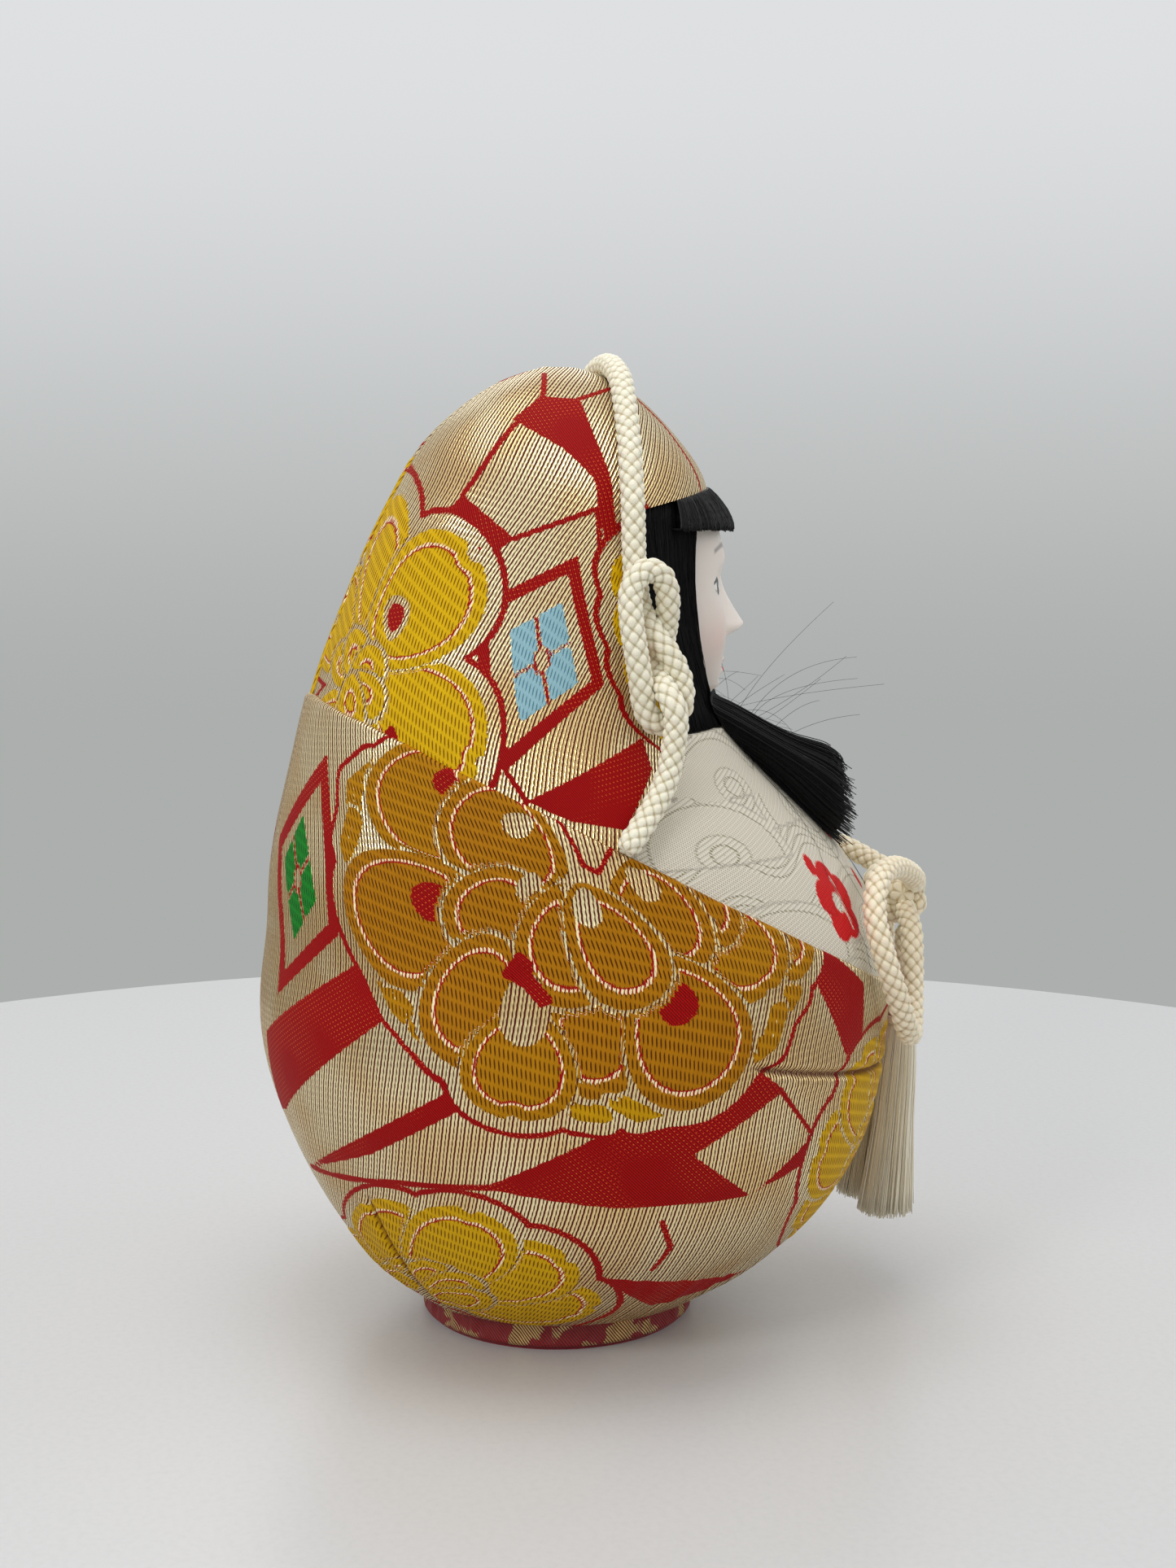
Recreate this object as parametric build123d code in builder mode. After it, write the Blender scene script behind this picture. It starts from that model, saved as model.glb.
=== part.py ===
from build123d import *
import math
import os

# A princess daruma: an egg-shaped roly-poly body wrapped in brocade, with a hooded head,
# a knotted hood cord, and a cord bow with two tassels on the chest.
# The doll faces -Y, +Z is up, and the origin is the centre of the foot's underside.

# ---------------------------------------------------------------- driving dimensions (mm)
foot_radius = 21.6

# Body stations from the foot to the crown: height, reach back, reach forward, half width.
body_stations = [
    (5.0, foot_radius + 1.2, foot_radius + 2.2, foot_radius + 1.7),
    (10.0, 28.6, 31.6, 30.2),
    (16.0, 33.4, 38.6, 36.6),
    (24.0, 38.2, 45.0, 42.2),
    (34.0, 42.6, 49.4, 46.0),
    (44.0, 45.4, 51.0, 47.8),
    (54.0, 45.8, 52.3, 47.6),
    (63.0, 44.7, 51.4, 46.4),
    (70.0, 44.3, 47.8, 45.0),
    (77.0, 43.3, 42.6, 43.4),
    (84.0, 41.8, 35.6, 41.2),
    (91.0, 40.1, 28.6, 38.6),
    (98.0, 38.4, 24.2, 35.8),
    (106.0, 35.8, 23.0, 32.8),
    (115.0, 32.2, 22.4, 29.8),
    (124.0, 28.2, 23.0, 27.0),
    (131.0, 24.5, 23.0, 24.4),
    (137.0, 20.8, 19.6, 20.4),
    (142.5, 15.0, 14.6, 15.4),
    (146.3, 9.2, 9.8, 10.2),
    (148.8, 2.4, 3.4, 3.4),
]
body_width_scale = 1.0      # widens the whole body sideways
body_depth_scale = 1.0      # and from front to back
shoulder_height = 124.0     # above this the cloth is offset more and more upwards
skin = 0.8                  # thickness of the glued brocade
fold = 0.8                  # how far the folded robe stands proud of the cloth under it
lap = 7.0                   # overlap of the robe's folded edge on the cloth under it
robe_height = 79.6          # height of the robe's upper edge on the axis
robe_slope = 0.52           # rise of that edge per millimetre towards the back

# Front edge of the hood, seen from the side: (forward, height).
hood_edge = [
    (7.6, 152.0),
    (6.2, 138.0),
    (5.6, 126.0),
    (7.0, 114.0),
    (9.6, 104.0),
    (10.6, 97.0),
    (8.8, 90.5),
    (4.0, 84.0),
    (-1.5, 78.0),
    (-7.0, 72.0),
]
niche_step = 1.0            # rim left between the hood's edge and the face niche
chin_shelf = 94.6           # height of the shelf under the chin
band_height = 125.5         # lower edge of the forehead band, carried back to the axis
band_rise = 0.23            # rise of that edge per millimetre forward

groove_width = 1.4          # tucking grooves cut in the core
tuck_depth = 3.0
tuck_thickness = 0.6

foot_height = body_stations[0][0]
foot_skin = 0.8
foot_skin_turn = 4.5        # how far the foot's cloth turns under it
foot_pad_thickness = 0.6

head_back = 12.4            # flat back of the head, measured forward from the axis
head_top = 126.8
peg_radius = 2.0
peg_length = 26.0
peg_top = 106.0
peg_forward = 16.5
peg_clearance = 0.05
wig_inset = 1.0             # side hair lies this far inside the hood's outline
bangs_proud = 4.2           # bangs stand this far outside it
bangs_height = 124.3        # cut edge of the bangs
face_half_width = 13.2      # side hair leaves this much of the face open
face_forward = 16.0

cord_diameter = 3.7
knot_height = 65.0
knot_width = 10.4
knot_depth = 10.0
knot_tall = 9.6
knot_rounding = 2.2
knot_gap = 0.32             # between the knot and the chest
pin_radius = 0.6
pin_sunk = 1.2              # the pin's head lies this far inside the knot's face
pin_hold = 5.88             # how deep the pin goes into the body

tail_spacing = 7.6          # between the two tassels at the knot
tail_diameter = 3.0
tail_rounding = 1.35        # of the cord's lower end, so that the tassel's head clears it
tail_gap = 0.35             # play where a tassel hangs from the knot
swing_gap = 0.6             # play between the hanging cord and the tassel's head
tail_bottom = 50.2
tail_shift = 0.2            # the tassels hang this much in front of the knot's middle
tassel_head_radius = 2.6
tassel_head_height = 4.2
tassel_head_rounding = 2.2
tassel_band_radius = 2.45
tassel_band_height = 1.3
skirt_top_radius = 2.2
skirt_bottom_radius = 4.4
skirt_bottom = 12.4
skirt_lean = 3.0            # the cut end of the skirt lies this much nearer the belly
skirt_gap = 1.2             # between the cut ends of the two skirts

big = 120.0                 # larger than the doll, for cutting blocks
sides = {"right": -1, "left": 1}


# ---------------------------------------------------------------- shared shapes
def reach_forward(height):
    # how far the body reaches forward at a height, between the stations
    for lower, upper in zip(body_stations, body_stations[1:]):
        if lower[0] <= height <= upper[0]:
            share = (height - lower[0]) / (upper[0] - lower[0])
            return (lower[2] + share * (upper[2] - lower[2])) * body_depth_scale
    return 0.0


def body_form(inset):
    # the whole egg with its surface moved inwards by inset
    crown = body_stations[-1][0]
    with BuildPart() as form:
        for height, reach_back, reach_front, half_width in body_stations:
            rise = max(0.0, (height - shoulder_height) / (crown - shoulder_height)) ** 2
            shrink = inset * math.sqrt(1 - 0.75 * rise)
            centre = (reach_back - reach_front) / 2 * body_depth_scale
            half_depth = (reach_back + reach_front) / 2 * body_depth_scale
            with BuildSketch(Plane.XY.offset(height - inset * rise)):
                with Locations((0, centre)):
                    Ellipse(half_width * body_width_scale - shrink, half_depth - shrink)
        loft()
    return form.part


def front_of_hood(step):
    # everything in front of the hood's edge moved forward by step
    with BuildPart() as region:
        with BuildSketch(Plane.YZ):
            with BuildLine():
                edge = [(-(forward + step), height) for forward, height in hood_edge]
                Spline(*edge)
                under = edge[-1][0]
                Polyline(edge[-1], (under, 0), (-big, 0), (-big, edge[0][1]), edge[0])
            make_face()
        extrude(amount=big, both=True)
    return region.part


def robe_plane(drop):
    # plane of the robe's upper edge, lowered by drop, with its normal upwards
    return Plane(origin=(0, 0, robe_height - drop), x_dir=(1, 0, 0), z_dir=(0, -robe_slope, 1))


def band_plane():
    # plane of the forehead band's lower edge, with its normal upwards
    return Plane(origin=(0, 0, band_height), x_dir=(1, 0, 0), z_dir=(0, band_rise, 1))


def cord_route(points):
    # straight runs joined by the largest tangent arcs that they allow
    radii = []
    for before, corner, after in zip(points, points[1:], points[2:]):
        run_in = Vector(*corner) - Vector(*before)
        run_out = Vector(*after) - Vector(*corner)
        half_turn = math.radians(run_in.get_angle(run_out)) / 2
        radii.append(0.45 * min(run_in.length, run_out.length) / math.tan(half_turn))
    print("cord radii", [round(radius, 1) for radius in radii])
    return radii


knot_forward = reach_forward(knot_height - knot_tall / 2) + knot_gap + knot_depth / 2
tail_forward = knot_forward + tail_shift
pin_length = knot_depth - pin_sunk + knot_gap + pin_hold
skirt_spread = skirt_bottom_radius + skirt_gap / 2 - tail_spacing / 2

outer_form = body_form(0)
core_form = body_form(skin)
robe_form = body_form(-fold)
tuck_form = body_form(skin + tuck_depth)
hood_opening = front_of_hood(0)
niche_opening = front_of_hood(niche_step)

# ---------------------------------------------------------------- tucking grooves
# Slots of the core that take the turned-in edges of the cloth.
with BuildPart() as tuck_shell:
    add(core_form)
    add(tuck_form, mode=Mode.SUBTRACT)

with BuildPart() as back_groove:
    with Locations((0, big / 2, robe_height + big / 2 + 16)):
        Box(groove_width, big, big)
    add(tuck_shell.part, mode=Mode.INTERSECT)

# The two front darts run from each hip down to the middle of the belly.
dart_spread = 17.0          # forward reach of the dart's outer end
dart_low = 41.5             # height of the dart at the middle
dart_climb = 0.24           # rise per millimetre towards the back
with BuildPart() as front_groove:
    dart_plane = Plane(origin=(0, -outer_form.bounding_box().size.Y / 2, dart_low), z_dir=(0, -dart_climb, 1))
    with BuildSketch(dart_plane):
        Rectangle(big, 2 * (outer_form.bounding_box().size.Y / 2 - dart_spread))
    extrude(amount=groove_width)
    add(tuck_shell.part, mode=Mode.INTERSECT)

# Two short darts gather the robe at the back, beside the middle, down to the foot.
rear_dart_angle = 32.0      # degrees from the middle of the back
rear_dart_top = 29.0
rear_darts = []
for side in sides.values():
    with BuildPart() as rear_groove:
        turn = side * rear_dart_angle
        with Locations(Location((0, 0, rear_dart_top / 2), (0, 0, -turn))):
            Box(groove_width, big, rear_dart_top, align=(Align.CENTER, Align.MIN, Align.CENTER))
        add(tuck_shell.part, mode=Mode.INTERSECT)
    rear_darts.append(rear_groove.part)

# ---------------------------------------------------------------- head
head_stations = [
    # height, forward reach, half width
    (98.4, 22.6, 5.6),
    (100.6, 25.6, 8.6),
    (104.0, 26.6, 11.2),
    (109.0, 26.4, 13.0),
    (115.0, 26.2, 14.2),
    (121.0, 26.0, 14.4),
    (head_top, 24.6, 13.8),
]
nose_stations = [
    # height, forward reach, radius
    (118.5, 26.6, 0.8),
    (113.5, 28.4, 1.5),
    (110.0, 30.4, 1.9),
    (107.2, 29.0, 1.7),
]
with BuildPart() as head:
    for height, forward, half_width in head_stations:
        with BuildSketch(Plane.XY.offset(height)):
            with Locations((0, -head_back)):
                Ellipse(half_width, forward - head_back)
    loft()
    split(bisect_by=Plane.XZ.offset(head_back), keep=Keep.TOP)
    for height, forward, radius in nose_stations:
        with BuildSketch(Plane.XY.offset(height)):
            with Locations((0, radius - forward)):
                Circle(radius)
    loft()
    with Locations((0, -peg_forward, peg_top)):
        Cylinder(peg_radius + peg_clearance, big, align=(Align.CENTER, Align.CENTER, Align.MAX), mode=Mode.SUBTRACT)
head.part.label = "head"

with BuildPart() as neck_peg:
    with Locations((0, -peg_forward, peg_top - peg_clearance)):
        Cylinder(peg_radius, peg_length, align=(Align.CENTER, Align.CENTER, Align.MAX))
neck_peg.part.label = "neck_peg"

# ---------------------------------------------------------------- core
# The pin that holds the bow goes in square to the chest.
pin_place = Location((0, pin_sunk - knot_forward - knot_depth / 2, knot_height), (90, 0, 0))
pin_align = (Align.CENTER, Align.CENTER, Align.MAX)

# The face niche: in front of the hood's edge, between the chin shelf and the band.
with BuildPart() as niche:
    add(niche_opening)
    split(bisect_by=Plane.XY.offset(chin_shelf), keep=Keep.TOP)
    split(bisect_by=band_plane(), keep=Keep.BOTTOM)

with BuildPart() as body_core:
    add(core_form)
    add(niche.part, mode=Mode.SUBTRACT)
    add(back_groove.part, mode=Mode.SUBTRACT)
    add(front_groove.part, mode=Mode.SUBTRACT)
    for dart in rear_darts:
        add(dart, mode=Mode.SUBTRACT)
    with Locations((0, -peg_forward, peg_top)):
        Cylinder(
            peg_radius + peg_clearance,
            peg_length + peg_clearance,
            align=(Align.CENTER, Align.CENTER, Align.MAX),
            mode=Mode.SUBTRACT,
        )
    with Locations(pin_place):
        Cylinder(pin_radius, pin_length, align=pin_align, mode=Mode.SUBTRACT)
body_core.part.label = "body_core"

# ---------------------------------------------------------------- brocade panels
with BuildPart() as cloth_shell:
    add(outer_form)
    add(core_form, mode=Mode.SUBTRACT)
    split(bisect_by=robe_plane(lap), keep=Keep.TOP)

hood_panels = {}
for name, side in sides.items():
    with BuildPart() as hood_panel:
        add(cloth_shell.part)
        add(hood_opening, mode=Mode.SUBTRACT)
        split(bisect_by=Plane.YZ, keep=Keep.TOP if side > 0 else Keep.BOTTOM)
        # the turned-in edge fills its half of the back groove
        with Locations((side * tuck_thickness / 2, big / 2, robe_height + big / 2 + 16)):
            tuck = Box(tuck_thickness, big, big, mode=Mode.PRIVATE)
        add(tuck & tuck_shell.part)
    hood_panel.part.label = f"hood_panel_{name}"
    hood_panels[name] = hood_panel.part

with BuildPart() as hood_front_band:
    add(cloth_shell.part)
    add(hood_opening, mode=Mode.INTERSECT)
    split(bisect_by=band_plane(), keep=Keep.TOP)
hood_front_band.part.label = "hood_front_band"

with BuildPart() as chest_panel:
    add(cloth_shell.part)
    add(hood_opening, mode=Mode.INTERSECT)
    split(bisect_by=Plane.XY.offset(chin_shelf), keep=Keep.BOTTOM)
    with Locations(pin_place):
        Cylinder(pin_radius, pin_length, align=pin_align, mode=Mode.SUBTRACT)
chest_panel.part.label = "chest_panel"

# The robe lies on the core, and its folded upper edge laps over the hood and the chest.
with BuildPart() as robe_lap:
    add(robe_form)
    add(outer_form, mode=Mode.SUBTRACT)
    split(bisect_by=robe_plane(0), keep=Keep.BOTTOM)

with BuildPart() as robe_wrap:
    add(outer_form)
    add(core_form, mode=Mode.SUBTRACT)
    split(bisect_by=robe_plane(lap), keep=Keep.BOTTOM)
    add(robe_lap.part)
robe_wrap.part.label = "robe_wrap"

# ---------------------------------------------------------------- foot
with BuildPart() as foot_disc:
    with Locations((0, 0, foot_height)):
        Cylinder(
            foot_radius - foot_skin,
            foot_height - foot_pad_thickness - foot_skin,
            align=(Align.CENTER, Align.CENTER, Align.MAX),
        )
foot_disc.part.label = "foot_disc"

with BuildPart() as foot_cover:
    with BuildSketch(Plane.XZ):
        with BuildLine():
            Polyline(
                (foot_radius - foot_skin, foot_height),
                (foot_radius - foot_skin, foot_pad_thickness + foot_skin),
                (foot_radius - foot_skin_turn, foot_pad_thickness + foot_skin),
                (foot_radius - foot_skin_turn, foot_pad_thickness),
                (foot_radius, foot_pad_thickness),
                (foot_radius, foot_height),
                close=True,
            )
        make_face()
    revolve(axis=Axis.Z)
    rim = foot_cover.edges().filter_by(GeomType.CIRCLE).group_by(Axis.Z)[0].sort_by(SortBy.RADIUS)[-1]
    fillet(rim, radius=foot_skin * 0.7)
foot_cover.part.label = "foot_cover"

with BuildPart() as foot_pad:
    Cylinder(
        foot_radius - 1.0,
        foot_pad_thickness,
        align=(Align.CENTER, Align.CENTER, Align.MIN),
    )
foot_pad.part.label = "foot_pad"

# ---------------------------------------------------------------- hair
# The side hair fills the niche round the head, and leaves the face open.
with BuildPart() as wig:
    add(body_form(wig_inset))
    add(front_of_hood(niche_step + 0.3), mode=Mode.INTERSECT)
    split(bisect_by=Plane.XY.offset(chin_shelf + 0.2), keep=Keep.TOP)
    split(bisect_by=Plane.XY.offset(head_top - 0.2), keep=Keep.BOTTOM)
    with Locations((0, -face_forward, 0)):
        Box(
            2 * face_half_width,
            big,
            2 * bangs_height,
            align=(Align.CENTER, Align.MAX, Align.CENTER),
            mode=Mode.SUBTRACT,
        )
    add(head.part, mode=Mode.SUBTRACT)
    with Locations((0, -peg_forward, peg_top)):
        Cylinder(peg_radius + peg_clearance, big, align=(Align.CENTER, Align.CENTER, Align.MAX), mode=Mode.SUBTRACT)

hair_sides = {}
for name, side in sides.items():
    with BuildPart() as hair_side:
        add(wig.part)
        split(bisect_by=Plane.YZ, keep=Keep.TOP if side > 0 else Keep.BOTTOM)
    hair_side.part.label = f"hair_side_{name}"
    hair_sides[name] = hair_side.part

with BuildPart() as hair_bangs:
    add(body_form(-bangs_proud))
    add(body_form(wig_inset), mode=Mode.SUBTRACT)
    split(bisect_by=Plane.XZ.offset(head_back), keep=Keep.TOP)
    split(bisect_by=Plane.XY.offset(bangs_height), keep=Keep.TOP)
    split(bisect_by=band_plane(), keep=Keep.BOTTOM)
    add(head.part, mode=Mode.SUBTRACT)
hair_bangs.part.label = "hair_bangs"

# Each front lock leaves the jaw, lies over the chest and ends in a cut brush.
lock_stations = [
    # forward, height, half width across, half thickness, degrees below level
    (20.0, 99.8, 2.2, 2.6, 48),
    (25.5, 94.1, 3.2, 2.9, 46),
    (31.3, 90.2, 4.6, 3.6, 40),
    (37.1, 86.2, 5.8, 5.6, 24),
    (41.6, 82.2, 6.4, 6.9, 0),
]
lock_spread = 14.6          # sideways place of each lock
hair_locks = {}
for name, side in sides.items():
    with BuildPart() as hair_lock:
        for forward, height, half_width, half_thickness, pitch in lock_stations:
            across = Plane(
                origin=(side * lock_spread, -forward, height),
                x_dir=(1, 0, 0),
                z_dir=(0, -math.cos(math.radians(pitch)), -math.sin(math.radians(pitch))),
            )
            with BuildSketch(across):
                Ellipse(half_width, half_thickness)
        loft()
        add(body_form(-0.1), mode=Mode.SUBTRACT)
    hair_lock.part.label = f"hair_lock_{name}"
    hair_locks[name] = hair_lock.part

# ---------------------------------------------------------------- hood cord
# One round braided cord: from under the robe on the right, up to a knot beside the face,
# over the crown, and down through the other knot to the left. Points of the right half,
# from the crown down.
hood_cord_half = [
    (-10.2, -7.5, 147.5),
    (-16.5, -6.6, 143.1),
    (-21.7, -5.9, 137.6),
    (-25.6, -5.2, 132.3),
    (-27.9, -4.9, 127.1),
    (-28.9, -4.7, 121.6),
    (-29.4, -4.8, 117.7),
    (-29.5, -5.1, 115.0),
    (-30.1, -5.6, 112.5),
    (-31.7, -6.2, 110.7),
    (-33.2, -7.1, 108.8),
    (-34.0, -8.9, 106.4),
    (-34.2, -10.2, 103.6),
    (-34.6, -10.5, 101.2),
    (-34.9, -10.1, 99.0),
    (-35.1, -8.4, 97.0),
    (-35.3, -6.0, 97.0),
    (-35.8, -4.4, 99.2),
    (-36.2, -3.8, 103.4),
    (-35.9, -3.2, 107.3),
    (-35.3, -2.7, 111.2),
    (-34.2, -2.7, 115.0),
    (-33.7, -3.5, 117.3),
    (-33.3, -5.2, 118.8),
    (-33.0, -7.2, 118.5),
    (-32.6, -8.5, 116.8),
    (-31.8, -9.1, 114.0),
    (-29.9, -9.3, 110.6),
    (-30.0, -8.7, 108.0),
    (-31.0, -7.8, 105.4),
    (-33.6, -7.3, 103.0),
    (-37.4, -7.2, 101.8),
    (-39.2, -7.8, 100.0),
    (-39.4, -8.2, 97.8),
    (-39.5, -7.9, 95.0),
    (-40.2, -6.7, 89.7),
    (-42.3, -3.5, 84.9),
    (-45.0, 0.7, 80.6),
]
hood_cord_points = [(-x, y, z) for x, y, z in reversed(hood_cord_half)]
hood_cord_points += [(0, -7.9, 150.0)]
hood_cord_points += hood_cord_half
with BuildPart() as hood_cord:
    with BuildLine() as hood_cord_line:
        FilletPolyline(*hood_cord_points, radius=cord_route(hood_cord_points))
    with BuildSketch(Plane(origin=hood_cord_line.line @ 0, z_dir=hood_cord_line.line % 0)):
        Circle(cord_diameter / 2)
    sweep()
hood_cord.part.label = "hood_cord"

# ---------------------------------------------------------------- bow
with BuildPart() as bow_knot:
    with Locations((0, -knot_forward, knot_height)):
        Box(knot_width, knot_depth, knot_tall)
    fillet(bow_knot.edges(), radius=knot_rounding)
    with Locations(pin_place):
        Cylinder(pin_radius, pin_length, align=pin_align, mode=Mode.SUBTRACT)
bow_knot.part.label = "bow_knot"

with BuildPart() as bow_pin:
    with Locations(pin_place):
        Cylinder(pin_radius, pin_length, align=pin_align)
bow_pin.part.label = "bow_pin"

# The right ear: out of the knot's side, along the chest, down, and back into the knot.
bow_ear_points = [
    (-2.6, -59.4, 66.8),
    (-8.6, -57.2, 68.4),
    (-14.4, -53.4, 70.8),
    (-20.4, -48.6, 72.8),
    (-26.6, -43.8, 72.6),
    (-31.2, -41.0, 68.0),
    (-33.4, -42.2, 61.2),
    (-32.0, -45.2, 54.0),
    (-27.4, -48.6, 48.0),
    (-21.0, -51.8, 46.0),
    (-16.0, -54.0, 49.6),
    (-13.2, -55.0, 56.6),
    (-9.4, -56.3, 61.6),
    (-2.6, -57.2, 63.6),
]
bow_ears = {}
for name, side in sides.items():
    ear_points = [(-side * x, y, z) for x, y, z in bow_ear_points]
    with BuildPart() as bow_ear:
        with BuildLine() as ear_line:
            FilletPolyline(*ear_points, radius=cord_route(ear_points))
        with BuildSketch(Plane(origin=ear_line.line @ 0, z_dir=ear_line.line % 0)):
            Circle(cord_diameter / 2)
        sweep()
        add(bow_knot.part, mode=Mode.SUBTRACT)
    bow_ear.part.label = f"bow_ear_{name}"
    bow_ears[name] = bow_ear.part

# ---------------------------------------------------------------- tassels
# Each tassel hangs from the knot's underside: a short cord, a wound head and a silk skirt.
tassel_parts = []
tail_top = knot_height - knot_tall / 2 - tail_gap
head_base = tail_bottom - swing_gap - tassel_head_height
for name, side in sides.items():
    tassel_x = side * tail_spacing / 2
    tassel_y = -tail_forward

    with BuildPart() as tassel_cord:
        with Locations((tassel_x, tassel_y, tail_top)):
            Cylinder(tail_diameter / 2, tail_top - tail_bottom, align=(Align.CENTER, Align.CENTER, Align.MAX))
        tail_ends = tassel_cord.edges().filter_by(GeomType.CIRCLE).sort_by(Axis.Z)
        fillet(tail_ends[-1], radius=0.4)
        fillet(tail_ends[0], radius=tail_rounding)
    tassel_cord.part.label = f"tassel_cord_{name}"

    with BuildPart() as tassel_head:
        with Locations((tassel_x, tassel_y, head_base)):
            Cylinder(
                tassel_head_radius,
                tassel_head_height,
                align=(Align.CENTER, Align.CENTER, Align.MIN),
            )
        fillet(tassel_head.edges().group_by(Axis.Z)[-1], radius=tassel_head_rounding)
        fillet(tassel_head.edges().group_by(Axis.Z)[0], radius=0.4)
    tassel_head.part.label = f"tassel_head_{name}"

    with BuildPart() as tassel_skirt:
        with BuildSketch(Plane.XY.offset(head_base)):
            with Locations((tassel_x, tassel_y)):
                Circle(skirt_top_radius)
        with BuildSketch(Plane.XY.offset(skirt_bottom)):
            with Locations((tassel_x + side * skirt_spread, tassel_y + skirt_lean)):
                Circle(skirt_bottom_radius)
        loft()
        fillet(tassel_skirt.edges().group_by(Axis.Z)[0], radius=0.6)
    tassel_skirt.part.label = f"tassel_skirt_{name}"

    with BuildPart() as tassel_band:
        with Locations((tassel_x, tassel_y, head_base - 0.2)):
            Cylinder(
                tassel_band_radius + 0.3,
                tassel_band_height,
                align=(Align.CENTER, Align.CENTER, Align.MAX),
            )
        add(tassel_skirt.part, mode=Mode.SUBTRACT)
    tassel_band.part.label = f"tassel_band_{name}"
    tassel_parts += [tassel_cord.part, tassel_head.part, tassel_skirt.part, tassel_band.part]

# ---------------------------------------------------------------- write the parts
os.makedirs("parts", exist_ok=True)
parts = [
    body_core.part,
    hood_panels["right"],
    hood_panels["left"],
    hood_front_band.part,
    chest_panel.part,
    robe_wrap.part,
    foot_disc.part,
    foot_cover.part,
    foot_pad.part,
    head.part,
    neck_peg.part,
    hair_bangs.part,
    hair_sides["right"],
    hair_sides["left"],
    hair_locks["right"],
    hair_locks["left"],
    hood_cord.part,
    bow_knot.part,
    bow_pin.part,
    bow_ears["right"],
    bow_ears["left"],
] + tassel_parts
for part in parts:
    export_step(part, f"parts/{part.label}.step")
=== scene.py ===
import math

import bpy
import numpy as np
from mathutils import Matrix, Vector


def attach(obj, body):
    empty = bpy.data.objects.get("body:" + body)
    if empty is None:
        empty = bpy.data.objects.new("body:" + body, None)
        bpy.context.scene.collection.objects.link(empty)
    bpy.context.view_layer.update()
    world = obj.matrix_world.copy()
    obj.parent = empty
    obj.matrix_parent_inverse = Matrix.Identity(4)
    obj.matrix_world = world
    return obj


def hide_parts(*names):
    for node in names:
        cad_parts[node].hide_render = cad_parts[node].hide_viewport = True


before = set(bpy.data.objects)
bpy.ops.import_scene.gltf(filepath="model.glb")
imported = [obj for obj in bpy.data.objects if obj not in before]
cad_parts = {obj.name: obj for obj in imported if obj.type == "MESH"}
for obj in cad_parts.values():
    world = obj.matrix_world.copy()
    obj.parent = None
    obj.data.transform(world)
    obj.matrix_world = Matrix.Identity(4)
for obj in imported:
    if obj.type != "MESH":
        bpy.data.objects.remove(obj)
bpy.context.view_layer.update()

# Princess daruma: brocade egg with a hooded head, a cord bow and two tassels.
# Shapes are worked out in millimetres and turned into metres where a mesh is made.
# The doll faces -Y. Angles round the body start at the back middle and pass the right side.

mm = 0.001


def tint(red, green, blue):
    # screen colour 0-255 to the linear colour a shader wants
    shares = [channel / 255 for channel in (red, green, blue)]
    linear = [((c + 0.055) / 1.055) ** 2.4 if c > 0.04 else c / 12.92 for c in shares]
    return (*linear, 1.0)


def meshObject(name, verts, faces, attributes=None, smooth=True):
    # verts in millimetres; attributes are one float for each vertex
    mesh = bpy.data.meshes.new(name)
    faces = faces.tolist() if isinstance(faces, np.ndarray) else faces
    mesh.from_pydata((np.asarray(verts, float) * mm).tolist(), [], faces)
    for label, values in (attributes or {}).items():
        layer = mesh.attributes.new(label, "FLOAT", "POINT")
        layer.data.foreach_set("value", np.asarray(values, np.float32).ravel())
    mesh.polygons.foreach_set("use_smooth", np.full(len(mesh.polygons), smooth))
    mesh.update()
    piece = bpy.data.objects.new(name, mesh)
    bpy.context.scene.collection.objects.link(piece)
    return piece


def gridFaces(rows, columns, wrap=False):
    # quads of a sheet of rows x columns points
    last = columns if wrap else columns - 1
    r, c = np.meshgrid(np.arange(rows - 1), np.arange(last), indexing="ij")
    n = (c + 1) % columns
    here, above = r * columns, (r + 1) * columns
    return np.stack([here + c, here + n, above + n, above + c], -1).reshape(-1, 4)


def sheetObject(name, points, attributes=None, wrap=False, flip=False):
    rows, columns = points.shape[:2]
    faces = gridFaces(rows, columns, wrap)
    if flip:
        faces = faces[:, ::-1]
    return meshObject(name, points.reshape(-1, 3), faces, attributes)


def addFaces(piece, faces):
    # close what a sheet leaves open
    mesh = piece.data
    verts = [v.co[:] for v in mesh.vertices]
    faces = [list(p.vertices) for p in mesh.polygons] + faces
    mesh.clear_geometry()
    mesh.from_pydata(verts, [], faces)


def coat(pieces, material):
    for piece in pieces:
        piece.data.materials.clear()
        piece.data.materials.append(material)


def smoothShade(pieces):
    for piece in pieces:
        piece.data.polygons.foreach_set("use_smooth", np.full(len(piece.data.polygons), True))


def joinPieces(name, pieces):
    # one mesh of several, keeping the first one's material
    bpy.ops.object.select_all(action="DESELECT")
    for piece in pieces:
        piece.select_set(True)
    bpy.context.view_layer.objects.active = pieces[0]
    bpy.ops.object.join()
    pieces[0].name = name
    return pieces[0]


def dress(piece, material, body, slot, *nodes):
    # material, body to ride on, the record's slot (not used), and the nodes that the piece stands for
    coat([piece], material)
    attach(piece, body)
    if nodes:
        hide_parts(*nodes)
    return piece


def smoothStep(value, low, high):
    share = np.clip((value - low) / (high - low), 0, 1)
    return share * share * (3 - 2 * share)


def feed(tree, socket, value):
    if isinstance(value, bpy.types.NodeSocket):
        tree.links.new(value, socket)
    else:
        socket.default_value = value


def calc(tree, operation, *values):
    node = tree.nodes.new("ShaderNodeMath")
    node.operation = operation
    for socket, value in zip(node.inputs, values):
        feed(tree, socket, value)
    return node.outputs[0]


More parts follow.
